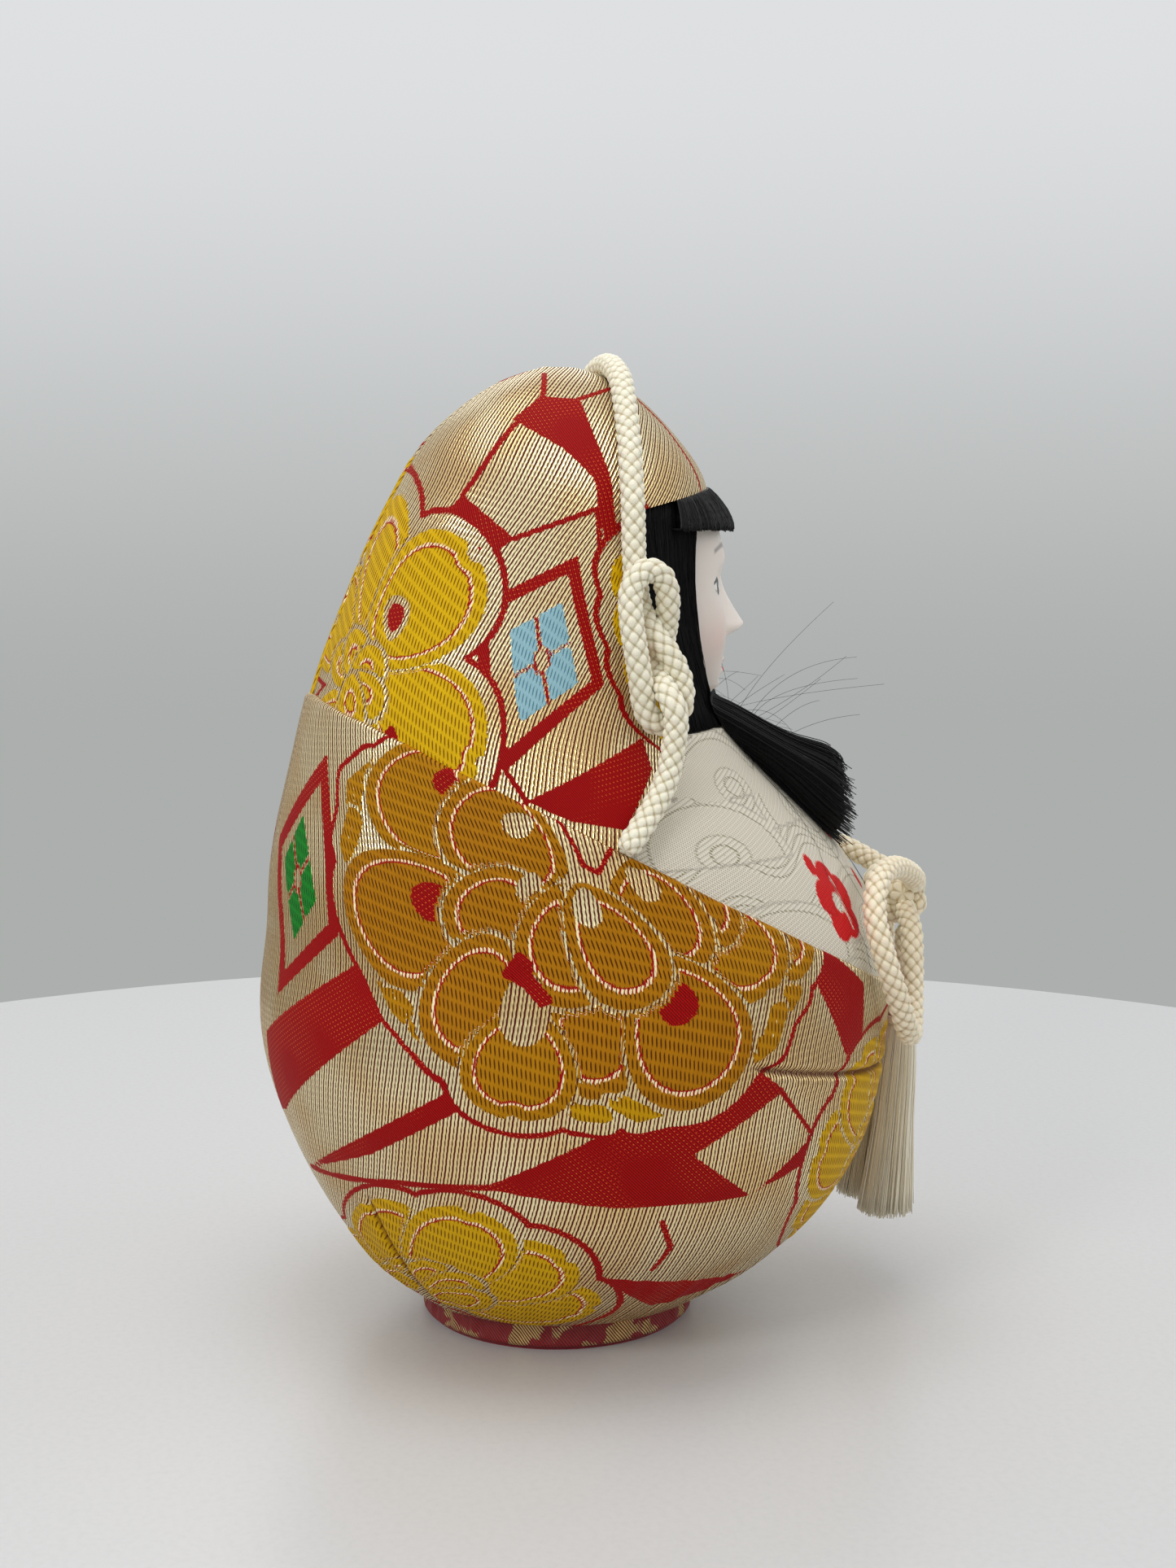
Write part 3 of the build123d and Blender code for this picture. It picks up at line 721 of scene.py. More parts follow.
def robeFigures(cloth):
    # rhombus at the back, and the red bands round it
    cloth.paintFrame([(-42.8, 102.2), (-46.1, 76), (-64.9, 64.3), (-64.3, 87.4)], 2.2)
    cloth.paintSquares([(-52.0, 92.4), (-50.4, 80.2), (-58.8, 73.4), (-60.4, 85.0)])
    cloth.paintRed([(-40.2, 99), (-32, 99.5), (-37.5, 88), (-38.8, 74), (-44.2, 74.6), (-43.2, 88)])
    cloth.paintRed([(-71, 57.5), (-40.5, 73.8), (-36.0, 66.7), (-66.2, 45.8), (-72, 44)])
    cloth.paintRed([(-61.8, 36.1), (-23.6, 58.9), (-22.6, 55.9), (-42.5, 44.1)])
    cloth.paintLine([(-61.8, 36.1), (-36.8, 40.3), (-21.4, 41.8)], 1.1)
    cloth.paintRed([(-24.4, 41.5), (-7.6, 50.4), (14.1, 58.6), (20.2, 54.2), (5.3, 46.4),
                    (15.1, 38.1), (-6.3, 38.7)])
    cloth.paintRed([(15.7, 38.7), (27.9, 42.2), (40.5, 49.3), (38.3, 53.1), (28.3, 47.6), (26.5, 46)])
    cloth.paintLine([(19.5, 54.3), (26.5, 46)], 0.8)
    cloth.paintRed([(-5.1, 24.4), (23.1, 17.2), (6.4, 12.1)])
    cloth.paintRed([(22.9, 74.2), (28.6, 72.9), (37.5, 66.7), (38.7, 58), (33.9, 56.5), (25.9, 67.4)])
    cloth.paintLine([(1.4, 35.6), (3.6, 30.4), (2.0, 25.5)], 0.9)
    cloth.paintRed([(52, 74), (62, 66), (76, 60), (76, 52), (62, 58)])
    cloth.paintRed([(46, 22), (60, 30), (78, 28), (78, 20), (58, 16)])
    # the big mustard medallion: scallops outside, then petals with red or bare eyes inside
    for points in ([(-39.0, 72.0), (-36.2, 67.4), (-32.4, 64.4)],
                   [(-33.0, 64.6), (-29.0, 61.8), (-24.4, 62.4)],
                   [(-32.4, 100.6), (-37.4, 97.6), (-38.8, 93.0)],
                   [(-38.6, 93.2), (-41.2, 89.0), (-40.4, 84.0)],
                   [(20.8, 72.4), (20.6, 68.0), (17.8, 65.2)],
                   [(18.0, 65.6), (16.9, 61.8), (12.6, 59.6)]):
        cloth.paintScallop(points, 3.2, 0.85)
    for points in ([(-13.0, 57.0), (-10.6, 54.0), (-7.2, 53.4), (-4.6, 55.2)],
                   [(-5.2, 55.2), (-2.4, 53.4), (0.6, 54.0), (2.4, 57.0)]):
        cloth.paintScallop(points, 2.6, 0.5)
    cloth.paintPetal((-25.4, 96.6), (21, 17), 235, 0.0, 0.9)
    cloth.paintSpot((-20.9, 99.7), (4.6, 3.4), 235)
    cloth.paintPetal((-15.4, 92.0), (18, 17.0), 250, 1.0, 1.0)
    cloth.paintBare((-12.2, 93.8), (5.0, 3.4), 200)
    cloth.paintPetal((20.4, 75.2), (11, 9.0), -40, 0.0, 0.9)
    cloth.paintPetal((12.4, 76.0), (17, 14.0), -62, 1.0, 0.9)
    cloth.paintPetal((8.8, 81.4), (12, 10.6), -20, 0.0, 1.0)
    cloth.paintPetal((2.2, 80.6), (16.5, 14.4), -92, 1.2, 1.0)
    cloth.paintBare((1.8, 85.2), (5.4, 3.6), -60)
    cloth.paintPetal((-32.2, 80.4), (23, 19.0), 204, 0.0, 1.0)
    cloth.paintSpot((-28.0, 82.6), (6.6, 5.2), 204)
    cloth.paintPetal((-18.8, 80.4), (16, 14.6), 238, 1.2, 1.0)
    cloth.paintBare((-13.6, 84.8), (5.0, 3.4), 238)
    cloth.paintPetal((-8.8, 64.6), (18, 12.6), 284, 1.2, 1.0)
    cloth.paintPetal((-24.2, 69.0), (20, 14.6), 244, 0.0, 1.0)
    cloth.paintPetal((-18.6, 60.4), (16, 15.4), 264, 1.2, 0.9)
    cloth.paintPetal((3.6, 64.8), (23, 17.4), -66, 0.0, 1.0)
    cloth.paintSpot((2.2, 68.9), (7.0, 5.4), -66)
    cloth.paintPetal((-11.0, 77.0), (18, 12.4), 250, 0.0, 1.0)
    cloth.paintPetal((-4.8, 76.8), (18, 12.4), 286, 0.0, 1.0)
    cloth.paintBare((-6.9, 82.2), (5.6, 3.8), 262)
    cloth.paintBare((-17.8, 68.2), (10.4, 6.6), 262)
    bird = [(-20.8, 72.6), (-17.6, 76.2), (-15.9, 74.6), (-16.4, 72.6), (-13.8, 69.2), (-15.8, 68.2),
            (-18.0, 71.0)]
    cloth.spot = np.maximum(cloth.spot, insideOutline(cloth.s, cloth.t, bird))
    # yellow flowers low at the side, at the front and at the back
    low = (-30.5, 12.5)
    for turn, reach, size in ((166, 15.5, (21, 17)), (122, 15.5, (22, 18)), (4, 17.0, (22, 17)),
                              (40, 15.0, (22, 17)), (80, 14.0, (23, 18))):
        c, d = math.cos(math.radians(turn)), math.sin(math.radians(turn))
        cloth.paintPetal((low[0] + reach * c, low[1] + reach * d), size, turn, 1.4, 0.2)
    petalRing(cloth, low, 6.6, (11.6, 9.4), (130, 90, 50, 10, 170), 0.2)
    front = (49.0, 36.0)
    turns = (206, 162, 118, 74, 30, -14, -58)
    petalRing(cloth, front, 13.2, (19.0, 16.4), turns, 0.15, 1.6, (3.6, 2.6))
    petalRing(cloth, front, 4.6, (10.0, 8.0), (140, 92, 44, -4, -52, 188), 0.15)


weave = {
    "pitch": 0.54,          # foil threads
    "hoodLean": 28.0,       # degrees that the foil threads lean forward
    "robeLean": 10.0,
    "foil": tint(238, 208, 146),
    # pale foil of the petal outlines, and the painted highlight of the foil ground
    "foilPaleAndHighlight": tint(255, 240, 190),
    "binder": tint(84, 20, 10),
    "red": tint(178, 0, 0),
    "redDark": tint(104, 0, 0),
    "redGlint": tint(224, 110, 50),
    "outline": tint(158, 6, 6),
    "yellow": tint(224, 180, 0),
    "yellowDark": tint(132, 88, 0),
    "mustard": tint(184, 120, 0),
    "mustardDark": tint(84, 42, 0),
    "blueSquares": (tint(146, 186, 196), tint(84, 126, 140)),
    "greenSquares": (tint(22, 128, 34), tint(4, 66, 14)),
    "metal": 0.86,          # of bare foil
}


def brocade(name, lean, square, squareDark):
    # gold foil ground, red satin fields, raised petals with nested outlines, small squares
    material, tree, shader = newMaterial(name, 0.4, specular=0.12)
    c, d = math.cos(math.radians(lean)), math.sin(math.radians(lean))
    s, t = attribute(tree, "s"), attribute(tree, "t")
    acrossThread = calc(tree, "SUBTRACT", calc(tree, "MULTIPLY", s, c), calc(tree, "MULTIPLY", t, d))
    alongThread = calc(tree, "ADD", calc(tree, "MULTIPLY", s, d), calc(tree, "MULTIPLY", t, c))
    slow = noise(tree, 55, 2)
    fine = noise(tree, 700, 2)
    wander = calc(tree, "MULTIPLY", calc(tree, "SUBTRACT", noise(tree, 160, 1), 0.5), 0.3)
    stripe = wave(tree, calc(tree, "ADD", acrossThread, wander), weave["pitch"])
    # ties cross the foil in slanted rows
    ties = wave(tree, calc(tree, "ADD", alongThread, calc(tree, "MULTIPLY", acrossThread, 1.7)), 1.05)
    ragged = calc(tree, "MULTIPLY", calc(tree, "MULTIPLY", stripe, ties), 0.14)

    # foil ground: painted reflection, the foil lighter in soft patches, with small painted glints
    patch = ramp(tree, slow, 0.36, 0.66)
    # painted glints: small bright spots on the foil
    glint = ramp(tree, noise(tree, 120, 3), 0.5, 0.72)
    foil = blendColours(tree, patch, weave["foil"], weave["foilPaleAndHighlight"])
    foil = blendColours(tree, calc(tree, "MULTIPLY", glint, 0.6), foil, weave["foilPaleAndHighlight"])
    pairs = wave(tree, calc(tree, "ADD", acrossThread, wander), weave["pitch"] * 2)
    body = calc(tree, "ADD", stripe, calc(tree, "MULTIPLY", ties, 0.22))
    onFoil = ramp(tree, calc(tree, "ADD", body, calc(tree, "MULTIPLY", pairs, 0.45)), -0.6, 0.1)
    ground = blendColours(tree, onFoil, weave["binder"], foil)

    # red satin with rows of tiny foil points
    redTwill = wave(tree, calc(tree, "ADD", alongThread, calc(tree, "MULTIPLY", acrossThread, 0.8)), 0.42)
    points = calc(tree, "MULTIPLY", wave(tree, acrossThread, 1.08), wave(tree, alongThread, 0.86))
    rows = ramp(tree, noise(tree, 90, 1), 0.4, 0.56)
    glints = calc(tree, "MULTIPLY", ramp(tree, points, 0.72, 0.9), rows)
    red = blendColours(tree, ramp(tree, redTwill, -0.9, 0.6), weave["redDark"], weave["red"])
    red = blendColours(tree, calc(tree, "MULTIPLY", glints, 0.8), red, weave["redGlint"])

    # petals: slanting silk, darker between the threads, with pale outlines inside one another
    petal = calc(tree, "ADD", attribute(tree, "petal"), ragged)
    tone = attribute(tree, "tone")
    silk = wave(tree, calc(tree, "ADD", acrossThread, calc(tree, "MULTIPLY", alongThread, 0.16)), 0.62)
    stitch = wave(tree, calc(tree, "ADD", alongThread, calc(tree, "MULTIPLY", acrossThread, 2.1)), 1.25)
    gap = ramp(tree, calc(tree, "ADD", silk, calc(tree, "MULTIPLY", stitch, 0.5)), -1.1, -0.35)
    light = blendColours(tree, tone, weave["yellow"], weave["mustard"])
    dark = blendColours(tree, tone, weave["yellowDark"], weave["mustardDark"])
    silkColour = blendColours(tree, gap, dark, light)
    silkColour = blendColours(tree, calc(tree, "MULTIPLY", fine, 0.3), silkColour, dark)
    line = calc(tree, "MULTIPLY", ramp(tree, petal, 1.5, 1.6),
                calc(tree, "SUBTRACT", 1.0, ramp(tree, petal, 2.08, 2.18)))
    redSide = ramp(tree, petal, 1.88, 1.94)
    ring = blendColours(tree, onFoil, weave["outline"], weave["foilPaleAndHighlight"])
    silkColour = blendColours(tree, line, silkColour, blendColours(tree, redSide, ring, weave["outline"]))

    # layers from the ground up
    onRed = ramp(tree, calc(tree, "ADD", attribute(tree, "red"), ragged), -0.05, 0.05)
    flower = calc(tree, "ADD", attribute(tree, "flower"), ragged)
    onRim = calc(tree, "MULTIPLY", ramp(tree, flower, -2.5, -2.4),
                 calc(tree, "SUBTRACT", 1.0, ramp(tree, flower, -1.75, -1.65)))
    onFlower = ramp(tree, flower, -1.75, -1.65)
    bare = calc(tree, "ADD", attribute(tree, "bare"), ragged)
    onBare = ramp(tree, bare, -0.05, 0.05)
    onPetal = calc(tree, "MULTIPLY", ramp(tree, petal, -0.04, 0.04), calc(tree, "SUBTRACT", 1.0, onBare))
    onSquare = ramp(tree, calc(tree, "ADD", attribute(tree, "square"), ragged), -0.05, 0.05)
    spot = calc(tree, "ADD", attribute(tree, "spot"), ragged)
    onRed = calc(tree, "MULTIPLY", onRed, calc(tree, "SUBTRACT", 1.0, onFlower))
    onRed = calc(tree, "MAXIMUM", onRed, onRim)
    colour = blendColours(tree, onRed, ground, red)
    colour = blendColours(tree, onPetal, colour, silkColour)
    squareColour = blendColours(tree, gap, squareDark, square)
    colour = blendColours(tree, onSquare, colour, squareColour)
    onSpot = ramp(tree, spot, -0.05, 0.05)
    colour = blendColours(tree, onSpot, colour, red)
    seam = calc(tree, "SUBTRACT", 1.0, ramp(tree, attribute(tree, "seam"), 0.1, 0.75))
    colour = blendColours(tree, calc(tree, "MULTIPLY", seam, 0.8), colour, weave["binder"])
    tree.links.new(colour, shader.inputs["Base Color"])

    covered = onRed
    for layer in (onPetal, onSquare, seam, onSpot):
        covered = calc(tree, "MAXIMUM", covered, layer)
    open_ = calc(tree, "SUBTRACT", 1.0, covered)
    metal = calc(tree, "MULTIPLY", calc(tree, "MULTIPLY", open_, onFoil), weave["metal"])
    tree.links.new(metal, shader.inputs["Metallic"])
    rough = calc(tree, "ADD", 0.62, calc(tree, "MULTIPLY", metal, -0.42))
    tree.links.new(rough, shader.inputs["Roughness"])

    ribs = blendValues(tree, covered, calc(tree, "ADD", calc(tree, "MULTIPLY", stripe, 0.5), 0.5),
                       calc(tree, "ADD", calc(tree, "MULTIPLY", redTwill, 0.22), 0.45))
    ribs = blendValues(tree, onPetal, ribs, calc(tree, "MULTIPLY", gap, 1.1))
    ribs = calc(tree, "ADD", ribs, calc(tree, "MULTIPLY", fine, 0.35))
    ribs = calc(tree, "ADD", ribs, calc(tree, "MULTIPLY", ties, 0.12))
    bump(tree, shader, ribs, 0.09, 0.85)
    return material


chestSettings = {
    "ground": tint(224, 216, 200),
    "groundDark": tint(168, 158, 136),
    "flat": tint(228, 222, 206),
    "flatDark": tint(184, 176, 154),
    "bead": tint(126, 114, 86),
    "blossom": tint(216, 4, 10),
    "blossomDark": tint(170, 0, 4),
    "blossoms": [(37.0, 78.6, 1.2), (54.0, 90.0, 0.9)],     # round the body, up it, size
    "buds": [(34.2, 84.6), (52.0, 80.0)],
    # round the body, up it, stretch of the rings sideways
    "swirls": [(17, 88, 1.7), (28, 97, 1.5), (44, 92, 1.6), (22, 72, 1.8), (46, 74, 1.4), (8, 98, 1.6)],
    "swirlReach": 8.5,
}


def chestCloth():
    # off-white silk with dotted silver waves and a few red blossoms
    material, tree, shader = newMaterial("paleBrocade", 0.6, specular=0.2)
    s, t = attribute(tree, "s"), attribute(tree, "t")
    warp = wave(tree, calc(tree, "ADD", s, calc(tree, "MULTIPLY", t, 0.3)), 0.46)
    weft = wave(tree, calc(tree, "SUBTRACT", t, calc(tree, "MULTIPLY", s, 0.35)), 0.62)
    swirl = attribute(tree, "swirl")
    # beaded lines in bands, with plain cloth between the bands
    bead = ramp(tree, wave(tree, calc(tree, "ADD", s, calc(tree, "MULTIPLY", t, 1.3)), 0.78), -0.5, 0.4)
    ring = ramp(tree, calc(tree, "ABSOLUTE", wave(tree, swirl, 2.9)), 0.5, 0.18)
    zone = ramp(tree, wave(tree, calc(tree, "ADD", swirl, 2.2), 9.6), -0.5, 0.0)
    dotted = calc(tree, "MULTIPLY", calc(tree, "MULTIPLY", ring, bead), zone)
    crossing = ramp(tree, calc(tree, "MULTIPLY", warp, weft), -0.9, 0.1)
    ground = blendColours(tree, crossing, chestSettings["groundDark"], chestSettings["ground"])
    rows = ramp(tree, weft, -0.8, 0.1)
    flat = blendColours(tree, rows, chestSettings["flatDark"], chestSettings["flat"])
    colour = blendColours(tree, calc(tree, "MULTIPLY", zone, 0.6), ground, flat)
    colour = blendColours(tree, calc(tree, "MULTIPLY", dotted, 0.8), colour, chestSettings["bead"])
    ragged = calc(tree, "MULTIPLY", warp, 0.12)
    blossom = ramp(tree, calc(tree, "ADD", attribute(tree, "red"), ragged), -0.06, 0.06)
    threads = ramp(tree, warp, -0.9, 0.5)
    red = blendColours(tree, threads, chestSettings["blossomDark"], chestSettings["blossom"])
    colour = blendColours(tree, blossom, colour, red)
    tree.links.new(colour, shader.inputs["Base Color"])
    plain = calc(tree, "SUBTRACT", 1.0, blossom)
    silver = calc(tree, "MULTIPLY", plain, calc(tree, "MULTIPLY", dotted, 0.5))
    tree.links.new(calc(tree, "ADD", silver, 0.06), shader.inputs["Metallic"])
    height = calc(tree, "ADD", calc(tree, "MULTIPLY", warp, 0.3), calc(tree, "MULTIPLY", weft, 0.3))
    height = calc(tree, "ADD", height, calc(tree, "MULTIPLY", zone, 0.5))
    bump(tree, shader, height, 0.08, 0.7)
    return material


hoodBrocade = brocade("hoodBrocade", weave["hoodLean"], *weave["blueSquares"])
robeBrocade = brocade("robeBrocade", weave["robeLean"], *weave["greenSquares"])
paleBrocade = chestCloth()


panelSettings = {
    "spacing": 0.5,
    "grooveDepth": 0.75,
    "robeColumns": 560,
    "robeRows": 160,
    "hoodColumns": 150,
    "leftHoodShift": (3.5, -10.0),
    "frontDart": (41.5, 0.24, 17.0),    # height at the middle, rise, forward reach of its outer end
    "rearDart": (32.0, 29.0),           # degrees from the back middle, height of its top
}


def clothFor(angle, run, paint):
    cloth = Cloth(roundRun(angle, run), run.copy())
    paint(cloth)
    return cloth


def makeRobe():
    fold = bodyForm["fold"]
    columns, rows = panelSettings["robeColumns"], panelSettings["robeRows"]
    angles = np.linspace(0, 2 * math.pi, columns + 1)[:-1]
    top = np.interp(angles, fineAngles, robeRun)
    share = np.linspace(0, 1, rows)
    # at the top the cloth is folded over: step along the cloth, lift off the body
    head = [(-0.42, fold * 0.96), (-0.18, fold * 0.78), (-0.04, fold * 0.5), (0.0, 0.15), (-0.1, -0.2)]
    start = profileRun[0]
    run = start + share[:, None] * (top - 0.8 - start)[None, :]
    lift = np.full(run.shape, fold)
    edgeWave = 0.16 * np.sin(angles * 9 + 1) + 0.1 * np.sin(angles * 23)
    run = np.concatenate([run] + [(top + d + edgeWave * 0.6)[None, :] for d, _ in head])
    lift = np.concatenate([lift] + [np.full((1, columns), value) for _, value in head])
    angle = np.broadcast_to(angles[None, :], run.shape)
    cloth = clothFor(angle, run, robeFigures)
    spots = onBody(angle, run, lift)
    dartHeight, dartRise, dartReach = panelSettings["frontDart"]
    middle = -(stationTable[:, 1].max() + stationTable[:, 2].max()) / 2
    dart = spots[..., 2] - dartHeight - dartRise * (spots[..., 1] - middle)
    along = smoothStep(-spots[..., 1], dartReach - 1, dartReach + 3)
    cloth.seam = np.where(along > 0.05, np.abs(dart) + (1 - along) * 0.6, 9.0)
    lift -= panelSettings["grooveDepth"] * np.exp(-(dart / 0.55) ** 2) * along
    lift += 0.22 * np.exp(-((np.abs(dart) - 1.6) / 1.1) ** 2) * along
    rearAngle, rearTop = panelSettings["rearDart"]
    for turn in (math.radians(rearAngle), 2 * math.pi - math.radians(rearAngle)):
        off = (angle - turn) * 34
        down = 1 - smoothStep(spots[..., 2], rearTop - 5, rearTop)
        lift -= panelSettings["grooveDepth"] * np.exp(-(off / 0.55) ** 2) * down
        lift += 0.2 * np.exp(-((np.abs(off) - 1.7) / 1.2) ** 2) * down
        cloth.seam = np.minimum(cloth.seam, np.where(down > 0.05, np.abs(off) + (1 - down) * 0.6, 9.0))
    # the glued cloth puckers softly towards the foot
    low = 1 - smoothStep(run, 10, 34)
    lift += low * (0.22 * np.sin(angle * 41) + 0.14 * np.sin(angle * 67 + 2)) * smoothStep(run, 5, 12)
    lift += cloth.relief() * smoothStep(lift, 0.3, 0.6)
    spots = onBody(angle, run, lift)
    # turned-in underside down to the foot
    foot = []
    for down in (-2.4, -1.2, -0.4):
        ring = spots[0].copy()
        ring[:, :2] *= 1 + (down - 0.2) / 24.0
        ring[:, 2] = stationTable[0, 0] - 0.12 + 0.05 * down
        foot.append(ring)
    spots = np.concatenate([np.array(foot), spots])
    layers = {}
    for label, values in cloth.layers().items():
        layers[label] = np.concatenate([np.repeat(values[:1], len(foot), 0), values])
    piece = sheetObject("robeWrap", spots, layers, wrap=True, flip=True)
    return dress(piece, robeBrocade, "doll", "robe_brocade", "robe_wrap")


def makeHood(name, side):
    top = profileRun[-1] - 0.05
    rows = int((top - 60) / panelSettings["spacing"])
    across = np.linspace(0, 1, panelSettings["hoodColumns"])[None, :]
    share = np.linspace(0, 1, rows)[:, None]
    # the lower edge follows the robe's fold, so rows start at the lap under it
    angle = np.broadcast_to(across * 1.7, (rows, across.size)).copy()
    for _ in range(8):
        start = np.interp(angle, fineAngles, lapRun)
        run = start + share * (top - start)
        angle = across * edgeAngle(run)
    # the left half is cut from a stretch of the cloth further up
    moved = panelSettings["leftHoodShift"] if side > 0 else (0.0, 0.0)
    cloth = Cloth(roundRun(angle, run) + moved[0], run + moved[1])
    hoodFigures(cloth)
    lift = cloth.relief()
    backGap = angle * np.maximum(profile(run)[1], 3)
    lift -= panelSettings["grooveDepth"] * np.exp(-(backGap / 0.5) ** 2)
    lift += 0.15 * np.exp(-((backGap - 1.5) / 1.0) ** 2)
    edgeGap = (edgeAngle(run) - angle) * np.maximum(profile(run)[3], 3)
    open_ = smoothStep(math.pi - edgeAngle(run), 0.05, 0.4)
    lift -= 0.8 * np.exp(-(edgeGap / 0.7) ** 2) * open_
    cloth.seam = np.minimum(np.abs(backGap), 9.0)
    spots = onBody(angle, run, lift)
    spots[..., 0] *= -side
    piece = sheetObject("hood" + name.capitalize(), spots, cloth.layers(), flip=side < 0)
    return dress(piece, hoodBrocade, "doll", "hood_brocade", "hood_panel_" + name)


def frontPatch(lowRun, highRun, rows, columns):
    # sheet in front of the hood's edge between two runs given for each angle
    u = np.linspace(0, 1, columns)[None, :]
    v = np.linspace(0, 1, rows)[:, None]
    angle = np.broadcast_to(math.pi / 2 + u * math.pi, (rows, columns)).copy()
    run = np.full((rows, columns), 100.0)
    for _ in range(40):
        start = np.interp(angle, fineAngles, lowRun)
        run = run * 0.5 + (start + v * (highRun - start)) * 0.5
        side = edgeAngle(run)
        angle = side + u * (2 * math.pi - 2 * side)
    return angle, run


def makeForeheadBand():
    # the band narrows to nothing where the hood's edge crosses the front of the crown
    runs = np.linspace(140, profileRun[-1], 800)
    closes = float(runs[np.argmax(edgeAngle(runs) > math.pi - 0.02)])
    angle, run = frontPatch(bandRun, closes, 60, 180)
    cloth = Cloth(roundRun(angle, run), run.copy())
    front = math.pi - np.abs(angle - math.pi)
    cloth.paintLine([(27, 134), (24, 144), (18.5, 155), (11, 163)], 0.8)
    cloth.paintRed([(6.5, 134), (11.0, 134), (11.2, 139.5), (8.6, 141.5), (6.0, 141)])
    lift = cloth.relief() + 0.1 * np.sin(front * 14) * 0.4
    spots = onBody(angle, run, lift)
    piece = sheetObject("foreheadBand", spots, cloth.layers(), flip=True)
    return dress(piece, hoodBrocade, "doll", "hood_brocade", "hood_front_band")


def makeChest():
    rows, columns = 110, 240
    angle, run = frontPatch(lapRun, shelfRun, rows, columns)
    # the top turns in over the shelf under the chin
    turned = [(0.05, -0.2), (0.1, -0.9), (0.1, -3.0), (0.1, -8.0), (0.1, -16.0)]
    lift = np.zeros(run.shape)
    for rise, drop in turned:
        angle = np.concatenate([angle, angle[-1:]])
        run = np.concatenate([run, run[rows - 1:rows] + rise])
        lift = np.concatenate([lift, np.full((1, columns), drop)])
    s, t = roundRun(angle, run), run
    mirrored = np.where(angle > math.pi, -1.0, 1.0)
    # red plum blossoms, each five round petals about an open middle
    red = np.full(s.shape, -9.0)
    for ps, pt, size in chestSettings["blossoms"]:
        for k in range(5):
            turn = math.radians(90 + 72 * k)
            place = (ps + 2.3 * size * math.cos(turn), pt + 2.9 * size * math.sin(turn))
            bud = 2.0 * size - np.hypot((s - place[0]), (t - place[1]) / 1.15)
            red = np.maximum(red, bud)
        middle = 1.0 * size - np.hypot(s - ps, (t - pt) / 1.3)
        red = np.minimum(red, -middle)
        slit = nearLine(s, t, [(ps + 1.2, pt + 3.5), (ps + 1.6, pt - 4.0)], 0.6)
        red = np.minimum(red, -slit)
    for ps, pt in chestSettings["buds"]:
        red = np.maximum(red, 1.1 - np.hypot(s - ps, (t - pt) / 1.5))
    # silver waves run in widening rings like raked water
    swirl = np.full(s.shape, 99.0)
    for ps, pt, stretch in chestSettings["swirls"]:
        ring = np.hypot((s - ps) / stretch, t - pt)
        ring = np.where(t > pt - 1.5, ring, 99.0)    # only the upper arcs, like overlapping waves
        swirl = np.where(ring < np.minimum(swirl, chestSettings["swirlReach"]), ring, swirl)
    swirl = np.where(swirl > 90, (t * 1.1 + 2 * np.sin(s * 0.3)), swirl)
    lift += smoothStep(red, -0.3, 0.3) * 0.08 * (lift > -0.1)
    spots = onBody(angle, run, lift)
    spots[rows:, :, 2] = np.minimum(spots[rows:, :, 2], bodyForm["chinShelf"] + 0.1)
    layers = {"s": s * mirrored, "t": t, "red": red, "swirl": swirl}
    piece = sheetObject("chestPanel", spots, layers, flip=True)
    return dress(piece, paleBrocade, "doll", "chest_brocade", "chest_panel")


makeRobe()
for name, side in sides.items():
    makeHood(name, side)
makeForeheadBand()
makeChest()
print("robe, hood, forehead band and chest are wrapped")


footSettings = {
    "radius": 21.6,
    "height": 5.0,
    "padThickness": 0.6,
    "turnedIn": 4.5,
    "rim": 0.6,
    "red": (tint(70, 2, 6), tint(150, 10, 16)),
    "foil": (tint(110, 50, 30), tint(206, 176, 120)),
}


def makeFoot():
    radius, height, pad = footSettings["radius"], footSettings["height"], footSettings["padThickness"]
    rim, inner = footSettings["rim"], radius - footSettings["turnedIn"]
    around = np.linspace(0, 2 * math.pi, 361)[:-1]
    # outline from the underside round the rim and up to the robe
    outline = [(inner, pad + 0.85), (inner, pad), (radius - 2.6, pad), (radius - 1.3, pad)]
    for a in np.linspace(0.2, 1.57, 6):
        outline.append((radius - rim + rim * math.sin(a), pad + rim - rim * math.cos(a)))
    outline += [(radius, z) for z in np.linspace(pad + 0.9, height + 0.1, 16)]
    outline = np.array(outline)
    wrinkle = 0.16 * np.sin(around * 37) + 0.12 * np.sin(around * 61 + 1)
    up = smoothStep(outline[:, 1], pad, pad + 2.0)[:, None]
    reach = outline[:, :1] + wrinkle[None, :] * up * (outline[:, :1] > radius - 1) - 0.1 * up
    spots = np.stack([reach * np.cos(around), reach * np.sin(around),
                      np.broadcast_to(outline[:, 1:], reach.shape)], -1)
    s = np.broadcast_to(around * radius, reach.shape)
    t = np.broadcast_to(outline[:, 1:], reach.shape)
    piece = sheetObject("footCover", spots, {"s": s, "t": t}, wrap=True)
    material, tree, shader = newMaterial("footBrocade", 0.5)
    s, t = attribute(tree, "s"), attribute(tree, "t")
    twill = wave(tree, calc(tree, "ADD", s, calc(tree, "MULTIPLY", t, 0.8)), 0.5)
    patch = noise(tree, 210, 2)
    gold = ramp(tree, calc(tree, "ADD", patch, calc(tree, "MULTIPLY", twill, 0.03)), 0.555, 0.575)
    red = blendColours(tree, ramp(tree, twill, -0.9, 0.4), *footSettings["red"])
    foil = blendColours(tree, ramp(tree, twill, -0.5, 0.2), *footSettings["foil"])
    colour = blendColours(tree, gold, red, foil)
    tree.links.new(colour, shader.inputs["Base Color"])
    tree.links.new(calc(tree, "MULTIPLY", gold, 0.8), shader.inputs["Metallic"])
    bump(tree, shader, calc(tree, "ADD", calc(tree, "MULTIPLY", twill, 0.4), patch), 0.12, 0.7)
    return dress(piece, material, "doll", "foot_brocade", "foot_cover")


